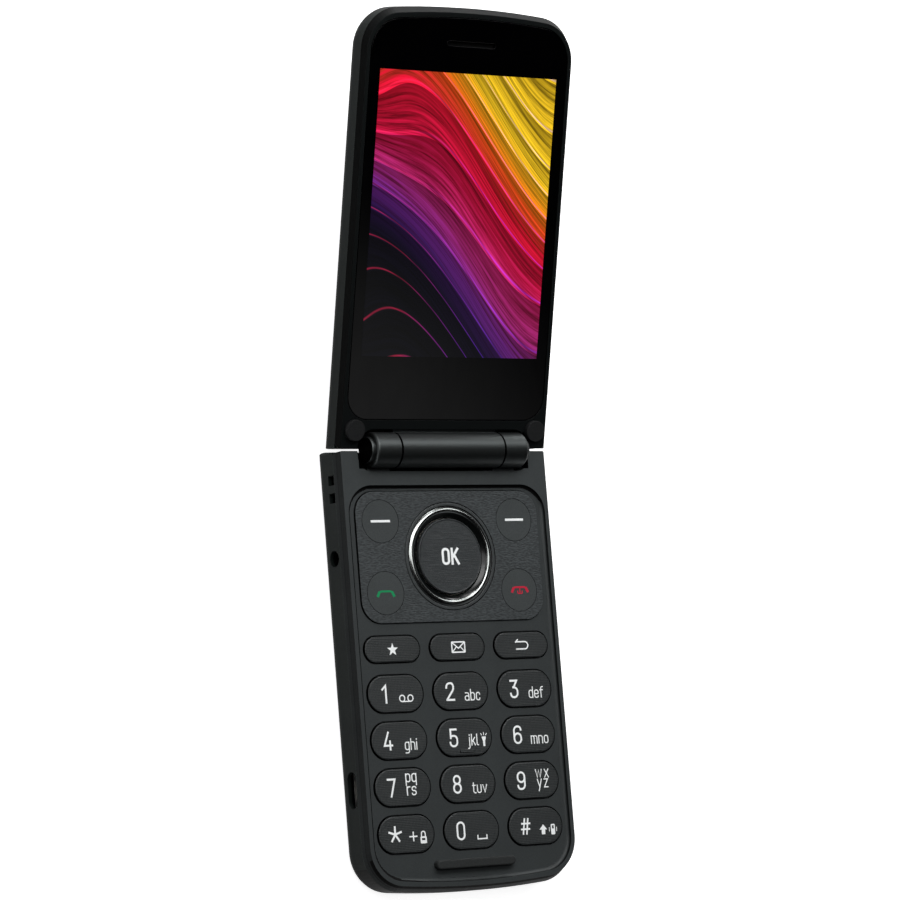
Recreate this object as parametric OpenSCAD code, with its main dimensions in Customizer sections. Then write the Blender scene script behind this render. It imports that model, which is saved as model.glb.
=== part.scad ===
// Flip phone, lying open on its back. Millimetres.
// Both halves are drawn round the hinge axis, which runs along X: the base reaches
// towards -Y, the lid towards +Y in a frame of its own that is then tilted open.
// Every piece is one module, named as its node.

/* [Overall] */
// Width of both halves
body_w = 54.3; // [53.8:0.1:58]
// Reach of the base from the hinge axis to its far end
base_len = 94.7; // [94.2:0.1:104]
// Reach of the lid from the hinge axis to its far end
lid_len = 95; // [94:0.1:104]
// Thickness of the base from rim to back
base_t = 9.2; // [9:0.1:11]
// Thickness of the lid from rim to back
lid_t = 6.6; // [6.4:0.1:8]
// Gap between the two rims when the phone is shut
closed_gap = 1; // [0.8:0.1:1.4]
// Angle between the two halves when open
open_angle = 165; // [150:1:172]

/* [Outline] */
// Radius of the far corners
corner_r = 9; // [7.5:0.1:10.5]
// Rise of the arched far edge
arch_rise = 1.7; // [1:0.1:2.5]
// Radius of the corners beside the hinge
ear_r = 1; // [0.5:0.1:1.5]
// Rounding of the back edge
back_r = 2.5; // [1.5:0.1:2.7]
// Wall of the housings
wall = 1.2; // [1:0.05:1.4]
// Height of the base's front housing at its edge
base_band_h = 2.3; // [2.2:0.05:2.6]
// Height of the lid's inner housing at its edge
lid_band_h = 1.5; // [1.4:0.05:1.8]
// Draft of both bands along the sides
draft_side = 0.6; // [0.2:0.05:0.9]
// Draft of both bands at the far end
draft_end = 1.1; // [0.5:0.05:1.5]
// Gap between the ears of the base and the hinge axis
base_ear_gap = 0.1; // [0.05:0.05:0.5]
// Gap between the ears of the lid and the hinge axis
lid_ear_gap = 0.3; // [0.2:0.05:0.8]
// How far the back of the base leans out past its front beside the hinge
base_lean = 0.6; // [0:0.05:0.7]
// How far the back of the lid leans out past its front beside the hinge
lid_lean = 0.8; // [0:0.05:0.9]
// Rounding of the back edge beside the hinge
hinge_edge_r = 1.3; // [0.8:0.05:1.6]
// Length of the base's back that sweeps up towards the hinge
base_sweep = 5.2; // [4:0.1:6]
// Radius of that sweep
base_sweep_r = 12; // [10:1:60]

/* [Hinge] */
// Radius of the barrel
barrel_r = 3.86; // [3.7:0.02:4]
// Length of each outer knuckle
knuckle_l = 6.25; // [5:0.05:7]
// Width of each half's ears beside the barrel
ear_w = 4.95; // [4.6:0.05:5.2]
// Distance of the knuckles from the ears
knuckle_from_ear = 2.6; // [2.4:0.05:3.2]
// Reach of the end caps past the knuckles
cap_reach = 1; // [0.6:0.1:2]
// Radius of the hinge parts in the barrel's bore
cartridge_r = 2.85; // [2.6:0.05:3]
// Radius of the cam shaft
shaft_r = 1.3; // [1:0.05:1.5]
// Depth of the notch from the hinge axis
notch_d = 4.46; // [4.4:0.02:4.8]
// Corner radius of the notch in the base
base_notch_r = 3; // [2:0.1:3.5]
// Corner radius of the notch in the lid
lid_notch_r = 4; // [3:0.1:4.2]

/* [Keypad] */
// Depth of the sunk tray
tray_depth = 0.9; // [0.7:0.05:1]
// Width of the flat rim round the tray
rim_w = 0.95; // [0.6:0.05:1.2]
// Distance of the tray from the hinge axis
tray_from_axis = 7.5; // [7.2:0.05:7.8]
// Corner radius of the tray beside the hinge
tray_r = 6.2; // [5.5:0.1:7]
// Height of the key tops above the tray
key_proud = 0.35; // [0.2:0.05:0.5]
// Travel of a key
key_travel = 0.35; // [0.2:0.05:0.4]
// Gap round a key
key_gap = 0.28; // [0.1:0.01:0.3]
// Rounding of a key's top edge
key_edge_r = 0.3; // [0.1:0.05:0.4]
// Space between the keys and the tray's sides
key_side = 1.77; // [1.6:0.01:2.2]
// Space between two keys of a row
key_space = 2.68; // [2.4:0.02:3]
// Space between two rows of number keys
row_space = 2.04; // [1.6:0.02:2.4]
// Distance of the last number row from the base's far end
rows_from_end = 12.78; // [12.4:0.02:13.2]
// Depth of a function key
func_h = 5.6; // [5:0.1:6]
// Space between the navigation plate and the function keys
func_space = 2.8; // [2.4:0.05:3.2]
// Distance of the first number row from the function keys
row_from_func = 9.5; // [9.2:0.05:10]
// Space between the navigation plate and the phone's sides
nav_side = 3.55; // [3.2:0.05:4]
// Distance of the navigation plate from the hinge axis
nav_from_axis = 8.8; // [8.6:0.05:9]
// Depth of the navigation plate
nav_h = 28.2; // [28:0.1:28.5]
// Corner radius of the navigation plate
nav_r = 4.8; // [4:0.1:5.5]
// Width of the navigation ring's band
ring_w = 3.2; // [3:0.05:3.4]
// Gap between the ring and the OK key
ok_gap = 0.25; // [0.2:0.05:0.4]
// Radius of the four round keys
disc_r = 4.6; // [4.2:0.05:4.8]
// Distance of the round keys' centres from the navigation plate's sides
disc_side = 6.2; // [5.8:0.05:6.4]
// Distance of the round keys from the ring's centre, along the phone
disc_y = 7.7; // [7.4:0.05:7.9]

/* [Display] */
// Distance of the active area from the lid's sides
view_side = 4.29; // [4.15:0.01:5]
// Distance of the active area from the lid's far end
view_from_end = 13.94; // [13.5:0.02:15]
// Distance of the active area from the hinge axis
view_from_axis = 20.1; // [19.5:0.1:20.5]
// Distance of the lens from the hinge axis
lens_from_axis = 6.6; // [6.5:0.05:7.2]
// Thickness of the lens
lens_t = 0.9; // [0.7:0.05:0.95]
// Width of the rim round the lens
lens_rim = 1.15; // [0.9:0.05:1.3]
// Radius of the lens's corners beside the hinge
lens_r = 5; // [3:0.1:6]
// Width of the earpiece slot
slot_w = 12.6; // [8:0.1:16]
// Distance of the earpiece slot from the lid's far end
slot_from_end = 7.7; // [7:0.1:8.5]
// Radius of the lid's round bumpers
bumper_r = 2.3; // [1.8:0.05:2.4]

/* [Side] */
// Radius of the headphone jack's bore
jack_r = 1.75; // [1.7:0.01:1.8]
// Distance of the jack from the ring's centre, towards the hinge
jack_offset = 0.2; // [0:0.05:0.4]
// Width of the charge port's opening
port_w = 7.8; // [7.6:0.1:8.6]
// Height of the charge port's opening
port_h = 3.3; // [3:0.1:3.3]
// Distance of the charge port from the base's far end
port_from_end = 22.8; // [22:0.1:24]
// Depth of the side openings' centres below the hinge axis
side_z = 4.8; // [4.8:0.05:5]
// Length of the volume rocker
rocker_l = 16.6; // [14:0.1:18]
// Height of the volume rocker
rocker_h = 2.6; // [2:0.1:2.8]

/* [Battery] */
// Distance of the battery from the base's sides
battery_side = 8.35; // [8.25:0.05:9.5]
// Distance of the battery from the hinge axis
battery_from_axis = 37; // [36.6:0.1:40]
// Distance of the battery from the base's far end
battery_from_end = 7.7; // [7.5:0.1:8.5]
// Thickness of the battery cover
cover_t = 0.9; // [0.7:0.05:1]

/* [Hidden] */
$fn = 64;
eps = 0.01;
fit = 0.1;                    // gap round a fixed piece in its seat
stop_gap = 0.05;              // gap between a key's flange and its stop
run = 0.05;                   // running clearance of the hinge

// levels, measured from the hinge axis
rim_z = -closed_gap / 2;
base_split_z = rim_z - base_band_h;
base_back_z = rim_z - base_t;
lid_split_z = rim_z - lid_band_h;
lid_back_z = rim_z - lid_t;
tray_z = rim_z - tray_depth;
key_top_z = tray_z + key_proud;
plate_t = 0.8;
plate_z = tray_z - plate_t;
flange_t = 0.35;
flange_w = 0.5;
flange_z = plate_z - stop_gap;
key_low_z = flange_z - flange_t;
mat_z = key_low_z - key_travel - stop_gap;
mat_t = 0.25;
film_t = 0.1;
dome_t = 0.1;
dome_r = 2;
board_z = mat_z - mat_t - dome_t - film_t;
board_t = 0.7;
board_low_z = board_z - board_t;
roof_t = 0.5;
cover_z = base_back_z + cover_t;
floor_t = 0.8;
floor_z = cover_z + floor_t;
ok_low_z = board_z + film_t + dome_t + key_travel + stop_gap;
nav_t = 0.95;
nav_seat_z = key_top_z - nav_t;
notch_z = -barrel_r - 0.5;
lens_z = rim_z - 0.05;
lens_low_z = lens_z - lens_t;
lid_floor_t = 1.2;
lid_floor_z = lid_back_z + lid_floor_t;

// hinge
notch_half = body_w / 2 - ear_w;
knuckle_end = notch_half - knuckle_from_ear;
barrel_half = knuckle_end - knuckle_l;

// placing the two halves
hinge_y = base_len / 2;
hinge_z = -base_back_z;
lid_tilt = 180 - open_angle;

// keypad
tray_w = body_w - 2 * (draft_side + rim_w);
key_w = (tray_w - 2 * key_side - 2 * key_space) / 3;
col_pitch = key_w + key_space;
func_from_axis = nav_from_axis + nav_h + func_space + func_h / 2;
row_from_axis = func_from_axis + row_from_func;
row_pitch = (base_len - rows_from_end - row_from_axis) / 3;
key_h = row_pitch - row_space;
rows = [for (i = [0:3]) -row_from_axis - i * row_pitch];
key_top_rounding = min(key_edge_r, key_proud);
nav_w = body_w - 2 * nav_side;
nav_y = -nav_from_axis - nav_h / 2;
ring_y = nav_y;
ring_from_axis = -ring_y;
ring_r = nav_w / 4 - 0.15;
ring_in_r = ring_r - ring_w;
ok_r = ring_in_r - ok_gap;
disc_x = nav_w / 2 - disc_side;
soft_from_axis = ring_from_axis - disc_y;
call_from_axis = ring_from_axis + disc_y;
ring_flange_r = ring_r + 0.6;
carrier_r = ring_flange_r - 0.1;
nib_from_edge = 1.05;

// battery bay
bay_wall = 1;
bay_gap = 0.2;
battery_w = body_w - 2 * battery_side;
battery_l = base_len - battery_from_end - battery_from_axis;
bay_w = battery_w + 2 * bay_gap;
bay_far = base_len - battery_from_end + bay_gap;
bay_near = battery_from_axis - bay_gap;
roof_z = board_low_z - roof_t;
cover_w = bay_w + 8.6;
cover_near = bay_near - 10.8;
cover_far = bay_far + 4;
cover_r = 5;

// inside of the base
base_in_near = notch_d + 2.4;
board_gap = 0.4;
screw_r = 0.8;
head_r = 1.5;
head_t = 0.9;
socket_r = 0.7;
head_z = cover_z + fit;
screw_top_z = base_split_z + 0.35;
post_r = 2;
base_screws_at = [for (s = [-1, 1]) each [[s * (body_w / 2 - 5.35), -base_in_near - 2.4],
                                          [s * (body_w / 2 - 6.65), -base_len + 5.2]]];
jack_from_axis = ring_from_axis - jack_offset;
port_from_axis = base_len - port_from_end;
jack_half = jack_r + 0.4;
jack_in = body_w / 2 - wall;
jack_l = jack_in - ring_flange_r - 0.9;
port_shell_t = 0.25;
port_l = 5.4;
rocker_y = -jack_from_axis - 4.3;
rocker_out = 0.7;
rocker_flange_t = 0.6;
rocker_flange_w = 1;
rocker_swing = 0.5;
rocker_pivot_x = body_w / 2 - wall - 0.35 - 0.35;
lanyard_y = [-6.04, -9.83];
lanyard_z = -4.05;
lanyard_w = 2.2;
lanyard_h = 2.1;
lanyard_d = 1.4;
lanyard_block = 2.5;
speaker_at = [body_w / 2 - 15.2, -base_in_near - 7.4];
speaker_size = [15, 11, 2.6];
motor_r = 1.9;
motor_l = 8;
mic_x = 8;
mic_r = 1.7;
mic_t = 1.3;
antenna_t = 0.6;
antenna_l = 28;
antenna_from_end = wall + 0.7;
mic_from_end = antenna_from_end + antenna_t + 3 * fit + mic_r;
can_t = 0.8;
cans = [[-11, -27.6, 13.4, 17.6], [4.2, -28, 16.6, 6]];
connector_at = bay_w / 2 - 10;
connector_size = [8, 3, 3.2];
reader_at = -bay_w / 2 - bay_wall;
reader_space = 4;
reader_size = [connector_at - reader_space - reader_at, 6.4, 1.35];
bar_size = [20.4, 1.95];

// inside of the lid
view_w = body_w - 2 * view_side;
view_h = lid_len - view_from_end - view_from_axis;
lens_w = body_w - 2 * (draft_side + lens_rim);
lens_far = lid_len - draft_end - lens_rim;
lid_in_near = notch_d + 2.4;
view_y = view_from_axis + view_h / 2;
module_w = view_w + 3.8;
module_near = view_from_axis - 6.6;
module_far = view_from_axis + view_h + 1.5;
module_t = 2.2;
module_low_z = lid_split_z - module_t;
slot_y = lid_len - slot_from_end;
slot_h = 1.1;
earpiece_size = [slot_w + 2.4, 6];
bumper_at = [body_w / 2 - 3.7, 4.2];
bumper_seat = 0.5;
lid_head_z = rim_z - bumper_seat - 0.5;
lid_board_t = 0.6;
lid_board_w = module_w - 5.52;
lid_board_near = module_near + 1.5;
lid_board_far = module_far - 17.56;
outer_w = body_w - 17.3;
outer_near = lid_len - 45;
outer_far = lid_len - 3.8;
outer_t = 0.7;
camera_at = [5.5 - outer_w / 2, module_far + 4.1];
camera_r = 2.9;
camera_w = 2 * camera_r + 0.8;
flash_at = [camera_at[0] + 8, camera_at[1]];
flash_r = 1.2;
outer_view = [outer_w - 7, 24];
outer_view_y = outer_near + 5 + outer_view[1] / 2;
magnet_size = [6, 2];
magnet_at = [body_w / 2 - 12.15, module_far + 3];

// ---------------------------------------------------------------- placing

module in_base() { translate([0, hinge_y, hinge_z]) children(); }

module in_lid() { translate([0, hinge_y, hinge_z]) rotate([lid_tilt, 0, 0]) children(); }

module both_sides() { children(); mirror([1, 0, 0]) children(); }

// ---------------------------------------------------------------- plane shapes

// a rectangle with round corners, centred
module round_rect(w, h, r) {
    square([w - 2 * r, h], center = true);
    square([w, h - 2 * r], center = true);
    for (x = [-1, 1], y = [-1, 1]) translate([x * (w / 2 - r), y * (h / 2 - r)]) circle(r);
}

// a bar with round ends, centred
module pill(w, h) {
    square([w - h, h], center = true);
    for (x = [-1, 1]) translate([x * (w - h) / 2, 0]) circle(h / 2);
}

// radius, centre and corner angle of the arched far edge
function arch_r(w, rise) = (w * w / 4 + rise * rise) / (2 * rise);
function arch_y(w, far, rise) = far - arch_r(w, rise);
function corner_y(w, far, r, rise) = arch_y(w, far, rise)
    + sqrt(pow(arch_r(w, rise) - r, 2) - pow(w / 2 - r, 2));
function corner_a(w, far, r, rise) =
    atan2(corner_y(w, far, r, rise) - arch_y(w, far, rise), w / 2 - r);

// the outline of a half: square beside the hinge, round corners and an arch far from it
module half_outline(w, near, far, r = corner_r, rise = arch_rise) {
    cy = corner_y(w, far, r, rise);
    a = corner_a(w, far, r, rise);
    translate([-w / 2, near]) square([w, cy - near]);
    for (x = [-1, 1]) translate([x * (w / 2 - r), cy]) circle(r);
    intersection() {
        translate([0, arch_y(w, far, rise)]) circle(arch_r(w, rise), $fn = 480);
        polygon([[-(w / 2 - r), cy - eps], [w / 2 - r, cy - eps],
                 [w / 2 - r + 2 * r * cos(a), cy + 2 * r * sin(a)],
                 [-(w / 2 - r) - 2 * r * cos(a), cy + 2 * r * sin(a)]]);
    }
}

// ---------------------------------------------------------------- solid shapes

// a half's back, rounded all round but beside the hinge: slices of growing width, each up
// to the top, in one hull
module rounded_half(near, far, low, top) hull() {
    slices = 6;
    for (i = [0:slices]) {
        a = 90 * i / slices;
        inset = back_r * (1 - sin(a));
        plate(low + back_r * (1 - cos(a)), top)
            half_outline(body_w - 2 * inset, near, far - inset, corner_r - inset);
    }
}

// half a cross-section, out to u and h high, with its lower outer edge rounded
module edge_profile(u, h, r) {
    translate([0, r]) square([u, h - r]);
    square([u - r, h]);
    translate([u - r, r]) circle(r);
}

// a dish with a rounded lower edge: straight sides, two round corners at each end and
// the arch; the far corners turn in under the arch by lap degrees
module dish(w, near, far, low, top, corner, near_corner, edge) translate([0, 0, low]) {
    lap = 3;
    h = top - low;
    cy = corner_y(w, far, corner, arch_rise);
    a = corner_a(w, far, corner, arch_rise);
    big = arch_r(w, arch_rise);
    inner = cy - arch_y(w, far, arch_rise) - 1;
    translate([0, cy, 0]) rotate([90, 0, 0]) linear_extrude(cy - near - near_corner) {
        edge_profile(w / 2, h, edge);
        mirror([1, 0]) edge_profile(w / 2, h, edge);
    }
    both_sides() {
        translate([w / 2 - corner, cy, 0]) rotate_extrude(angle = a + lap)
            edge_profile(corner, h, edge);
        translate([w / 2 - near_corner, near + near_corner, 0]) rotate([0, 0, -90])
            rotate_extrude(angle = 90) edge_profile(near_corner, h, edge);
    }
    translate([0, arch_y(w, far, arch_rise), 0]) rotate([0, 0, a])
        rotate_extrude(angle = 180 - 2 * a, $fn = 360)
            translate([inner, 0]) edge_profile(big - inner, h, edge);
    translate([w / 2 - near_corner, near + near_corner, 0]) rotate([90, 0, -90])
        linear_extrude(w - 2 * near_corner) edge_profile(near_corner, h, edge);
}

// the drafted band of a half's front, from its split line up to the rim
module drafted_half(near, far, low) hull() {
    plate(low, low + eps) half_outline(body_w, near, far);
    plate(low, rim_z)
        half_outline(body_w - 2 * draft_side, near, far - draft_end, corner_r - draft_side);
}

// what is cut off to round the two corners beside the hinge
module ear_cut(near, low) {
    both_sides() translate([body_w / 2, near, low - eps]) linear_extrude(rim_z - low + 2 * eps)
        difference() {
            translate([-ear_r, -eps]) square([2 * ear_r, ear_r + eps]);
            translate([-ear_r, ear_r]) circle(ear_r);
        }
}

// what is cut off beside the hinge: the end leans out from the split down to a rounded
// back edge, and where sweep is given the back comes up to it on an arc of that length
module hinge_end_cut(near, low, split, lean, sweep = 0, sweep_r = 0) {
    r = hinge_edge_r;
    end = near - lean;
    round_z = sweep > 0
        ? low + sweep_r - sqrt(pow(sweep_r - r, 2) - pow(near + sweep - end - r, 2)) : low + r;
    meet = sweep > 0
        ? near + sweep + (end + r - near - sweep) * sweep_r / (sweep_r - r) : end + r;
    translate([-body_w / 2 - 1, 0, 0]) rotate([90, 0, 90]) linear_extrude(body_w + 2) {
        if (sweep > 0) difference() {
            translate([end, low - 1]) square([near + sweep - end, 4]);
            translate([near + sweep, low + sweep_r]) circle(sweep_r, $fn = 480);
        }
        difference() {
            translate([end - 1, low - 1]) square([meet - end + 1, round_z - low + 1]);
            translate([end + r, round_z]) circle(r);
        }
        polygon([[end - 1, round_z - eps], [end, round_z - eps], [end, round_z], [near, split],
                 [near, split + 1], [end - 1, split + 1]]);
    }
}

// the notch round the barrel, seen from the front
module notch(r, near, low) {
    translate([0, 0, low]) linear_extrude(rim_z - low + eps) {
        translate([-notch_half + r, 0]) square([2 * (notch_half - r), notch_d]);
        translate([-notch_half, near - 1]) square([2 * notch_half, notch_d - r - near + 1]);
        for (x = [-1, 1]) translate([x * (notch_half - r), notch_d - r]) circle(r);
    }
}

// a bar with round ends that stands up from low to top, its top edge rounded
module pill_block(w, h, low, top, edge) {
    module half_profile() {
        translate([0, low]) square([h / 2, top - low - edge]);
        translate([0, low]) square([h / 2 - edge, top - low]);
        translate([h / 2 - edge, top - edge]) circle(edge);
    }
    translate([-(w - h) / 2, 0, 0]) rotate([90, 0, 90]) linear_extrude(w - h) {
        half_profile();
        mirror([1, 0]) half_profile();
    }
    both_sides() translate([(w - h) / 2, 0, 0]) rotate([0, 0, -90])
        rotate_extrude(angle = 180) half_profile();
}

// a turned piece along X: its profile is drawn as radius, then place along X
module turned_x() { rotate([0, 90, 0]) rotate_extrude() children(); }

module rod_x(r, from, to) { translate([from, 0, 0]) rotate([0, 90, 0]) cylinder(r = r, h = to - from); }

module plate(low, top) { translate([0, 0, low]) linear_extrude(top - low) children(); }

// ---------------------------------------------------------------- base housings

// the sunk tray: a flat floor that sweeps up into the rim
module tray_cut() {
    inset = draft_side + rim_w;
    dish(body_w - 2 * inset, tray_from_axis, base_len - draft_end - rim_w, tray_z, rim_z + 1,
        corner_r - inset, tray_r, tray_depth);
}

module key_hole(w, h) { plate(plate_z - 1, tray_z + 1) pill(w + 2 * key_gap, h + 2 * key_gap); }

module at_keys() {
    for (y = rows, c = [-1:1]) translate([c * col_pitch, y, 0]) children();
}

module at_func_keys() {
    for (c = [-1:1]) translate([c * col_pitch, -func_from_axis, 0]) children();
}

module at_discs() {
    for (x = [-1, 1], d = [soft_from_axis, call_from_axis]) translate([x * disc_x, -d, 0]) children();
}

module knuckle() {
    fillet = 0.5;
    rotate([0, 90, 0]) rotate_extrude() {
        translate([0, barrel_half + fit]) square([barrel_r, knuckle_end - fillet - barrel_half - fit]);
        translate([0, barrel_half + fit]) square([barrel_r - fillet, knuckle_end - barrel_half - fit]);
        translate([barrel_r - fillet, knuckle_end - fillet]) circle(fillet);
    }
    translate([barrel_half + fit, -notch_d - eps, notch_z])
        cube([knuckle_end - barrel_half - fit - fillet, notch_d + eps, -notch_z - barrel_r / 2]);
}

module base_front_housing() color("#34373a") in_base() {
    difference() {
        union() {
            difference() {
                mirror([0, 1, 0]) drafted_half(base_ear_gap, base_len, base_split_z);
                mirror([0, 1, 0]) plate(base_split_z - eps, plate_z)
                    half_outline(body_w - 2 * wall, base_in_near, base_len - wall, corner_r - wall);
            }
            translate([0, nav_y, 0]) plate(base_split_z, plate_z + eps)
                round_rect(nav_w + 2 * wall, nav_h + 2 * wall, nav_r);
            for (p = base_screws_at) translate([p[0], p[1], board_z])
                cylinder(r = post_r, h = plate_z - board_z + eps);
        }
        mirror([0, 1, 0]) {
            ear_cut(base_ear_gap, base_split_z);
            notch(base_notch_r, base_ear_gap, base_split_z - eps);
            tray_cut();
        }
        translate([0, nav_y, 0]) plate(nav_seat_z, tray_z + 1)
            round_rect(nav_w + 4 * fit, nav_h + 4 * fit, nav_r + 2 * fit);
        translate([0, ring_y, base_split_z - 1]) cylinder(r = ring_flange_r + 0.3, h = 3);
        at_discs() translate([0, 0, base_split_z - 1]) cylinder(r = disc_r + flange_w + key_gap, h = 3);
        at_keys() key_hole(key_w, key_h);
        at_func_keys() key_hole(key_w, func_h);
        for (p = base_screws_at) translate([p[0], p[1], board_z - eps])
            cylinder(r = screw_r + eps, h = screw_top_z - board_z + 2 * eps);
    }
    difference() {
        both_sides() knuckle();
        both_sides() rod_x(cartridge_r + run, barrel_half, knuckle_end + 1);
    }
}

module base_rear_housing() color("#26282a") in_base() {
    difference() {
        union() {
            difference() {
                mirror([0, 1, 0]) rounded_half(base_ear_gap - base_lean, base_len, base_back_z, base_split_z);
                mirror([0, 1, 0]) plate(floor_z, base_split_z + 1)
                    half_outline(body_w - 2 * wall, base_in_near, base_len - wall, corner_r - wall);
            }
            translate([-bay_w / 2 - bay_wall, -bay_far - bay_wall, floor_z - eps])
                cube([bay_w + 2 * bay_wall, bay_far - bay_near + 2 * bay_wall, board_low_z - floor_z + eps]);
            for (p = base_screws_at) translate([p[0], p[1], floor_z - eps])
                cylinder(r = post_r, h = board_low_z - floor_z + eps);
            translate([-body_w / 2 + wall / 2, lanyard_y[1] - lanyard_w, floor_z - eps])
                cube([lanyard_block, -base_in_near + 1 - lanyard_y[1] + lanyard_w,
                      lanyard_z + lanyard_w / 2 + fit - floor_z]);
        }
        mirror([0, 1, 0]) {
            ear_cut(base_ear_gap - base_lean, base_back_z);
            notch(base_notch_r, base_ear_gap - base_lean, notch_z);
            both_sides() translate([barrel_half, notch_d - 1, notch_z])
                cube([knuckle_end - barrel_half + fit, 1 + fit, -notch_z]);
        }
        mirror([0, 1, 0]) hinge_end_cut(base_ear_gap, base_back_z, base_split_z, base_lean, base_sweep, base_sweep_r);
        battery_bay();
        base_side_openings();
        speaker_slots();
        for (p = base_screws_at) translate([p[0], p[1], base_back_z - eps]) {
            cylinder(r = screw_r + fit, h = base_t);
            cylinder(r = head_r + fit, h = head_z + head_t - base_back_z + eps);
        }
        translate([mic_x, -base_len - 1, -side_z]) rotate([-90, 0, 0]) cylinder(r = 0.5, h = wall + 2);
    }
}

// the bay for the battery, the sunk seat of its cover and the slot for the cards
module battery_bay() {
    plate(base_back_z - 1, roof_z) translate([0, -(bay_near + bay_far) / 2])
        round_rect(bay_w, bay_far - bay_near, 1);
    plate(base_back_z - 1, cover_z) translate([0, -(cover_near + cover_far) / 2])
        round_rect(cover_w + 2 * fit, cover_far - cover_near + 2 * fit, cover_r + fit);
    translate([reader_at, -bay_near - 1, board_low_z - reader_size[2]])
        cube([reader_size[0], bay_wall + 2, reader_size[2] - roof_t]);
    translate([connector_at, -bay_near - 1, board_low_z - connector_size[2]])
        cube([connector_size[0], bay_wall + 2, connector_size[2] - roof_t]);
}

module base_side_openings() {
    side = body_w / 2;
    translate([-side - 1, -jack_from_axis, -side_z - 0.2]) rotate([0, 90, 0])
        cylinder(r = jack_r, h = wall + 2);
    translate([-side - 1, -port_from_axis, -side_z]) rotate([90, 0, 90]) linear_extrude(wall + 2)
        pill(port_w, port_h);
    translate([side + 1, rocker_y, -side_z - 0.4]) rotate([90, 0, -90]) linear_extrude(wall + 2)
        pill(rocker_l + 0.5, rocker_h + 0.4);
    for (y = lanyard_y) translate([-side - 1, y - lanyard_h / 2, lanyard_z - lanyard_w / 2])
        cube([wall + lanyard_d + 1, lanyard_h, lanyard_w]);
    translate([-side + wall, lanyard_y[1] - lanyard_h / 2, lanyard_z - lanyard_w / 2])
        cube([lanyard_d, lanyard_y[0] - lanyard_y[1] + lanyard_h, lanyard_w]);
}

module speaker_slots() {
    for (i = [-2:2]) translate([speaker_at[0], speaker_at[1] + 1.9 * i, base_back_z - 1])
        linear_extrude(floor_z - base_back_z + 2) pill(9 - abs(i), 0.9);
}

module battery_cover() color("#202224") in_base() difference() {
    plate(base_back_z, cover_z) translate([0, -(cover_near + cover_far) / 2])
        round_rect(cover_w, cover_far - cover_near, cover_r);
    translate([0, -cover_near - 3, 0]) plate(base_back_z - 1, base_back_z + cover_t / 2) pill(12, 3);
}

module battery() color("#4a4d50") in_base()
    plate(cover_z + stop_gap, roof_z - stop_gap) translate([0, -(bay_near + bay_far) / 2])
        round_rect(battery_w, battery_l, 1);

// ---------------------------------------------------------------- base inside

module battery_connector() color("#1d1f21") in_base() {
    h = connector_size[2] - fit;
    translate([connector_at + fit, -bay_near + bay_wall + fit, board_low_z - h])
        cube([connector_size[0] - 2 * fit, connector_size[1], h]);
    for (i = [-1:1]) translate([connector_at + connector_size[0] / 2 + 2 * i - 0.6, -bay_near - fit,
                                board_low_z - h + 0.3]) cube([1.2, bay_wall + 3 * fit, 1.6]);
}

// the room the headphone jack takes out of the board, the domes and the mat
module jack_cut(gap) {
    translate([-body_w / 2, -jack_from_axis - jack_half - gap])
        square([body_w / 2 - (jack_in - jack_l) + gap, 2 * (jack_half + gap)]);
}

module main_board() color("#1f5a36") in_base() plate(board_low_z, board_z) difference() {
    mirror([0, 1]) half_outline(body_w - 2 * (wall + board_gap), base_in_near + board_gap,
        base_len - wall - board_gap, corner_r - wall - board_gap);
    jack_cut(fit);
    for (p = base_screws_at) translate(p) circle(screw_r + 3 * fit);
    translate([-body_w / 2, -port_from_axis - port_w / 2 - fit])
        square([wall + port_l + 2 * fit, port_w + 2 * fit]);
    translate([-body_w / 2, lanyard_y[1] - lanyard_w - fit])
        square([wall / 2 + lanyard_block + fit, -lanyard_y[1] + lanyard_w]);
    translate([rocker_pivot_x - rocker_flange_t / 2 - rocker_swing,
               rocker_y - rocker_l / 2 - rocker_flange_w - 6 * fit])
        square([5, rocker_l + 2 * rocker_flange_w + 12 * fit]);
}

module shield_cans() color("#9a9da0") in_base() {
    for (c = cans) translate([c[0], c[1], board_low_z - can_t]) difference() {
        cube([c[2], c[3], can_t]);
        translate([0.2, 0.2, 0.2]) cube([c[2] - 0.4, c[3] - 0.4, can_t]);
    }
}

module card_reader() color("#8b8e91") in_base()
    translate([reader_at, -bay_near + bay_wall + fit, board_low_z - reader_size[2]]) difference() {
        cube(reader_size);
        translate([0.5, -eps, 0.3])
            cube([reader_size[0] - 1, reader_size[1] - 0.6, reader_size[2] - 0.55]);
    }

// the mat and the dome sheet share one outline, clear of the jack and the posts
module keypad_outline() difference() {
    w = body_w - 2 * (wall + 2);
    far = base_len - 7.6;
    translate([-w / 2, -far]) square([w, far - base_in_near - 2]);
    jack_cut(2 * fit);
    for (p = base_screws_at) translate(p) circle(post_r + 2 * fit);
}

module keypad_mat() color("#7b7f83") in_base() plate(mat_z - mat_t, mat_z) difference() {
    keypad_outline();
    translate([0, ring_y]) circle(carrier_r + 4 * fit);
}

module dome_sheet() color("#b9b6a8") in_base() {
    plate(board_z, board_z + film_t) keypad_outline();
    translate([0, 0, board_z + film_t - eps]) {
        at_keys() cylinder(r = dome_r, h = dome_t + eps);
        at_func_keys() cylinder(r = dome_r, h = dome_t + eps);
        at_discs() cylinder(r = dome_r, h = dome_t + eps);
        translate([0, ring_y, 0]) cylinder(r = dome_r, h = dome_t + eps);
    }
}

module nav_plate() color("#3c4042") in_base() difference() {
    translate([0, nav_y, 0]) plate(nav_seat_z, key_top_z) round_rect(nav_w, nav_h, nav_r);
    translate([0, ring_y, nav_seat_z - 1]) cylinder(r = ring_r + 0.15, h = 3);
    at_discs() translate([0, 0, nav_seat_z - 1]) cylinder(r = disc_r + fit, h = 3);
}

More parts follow.
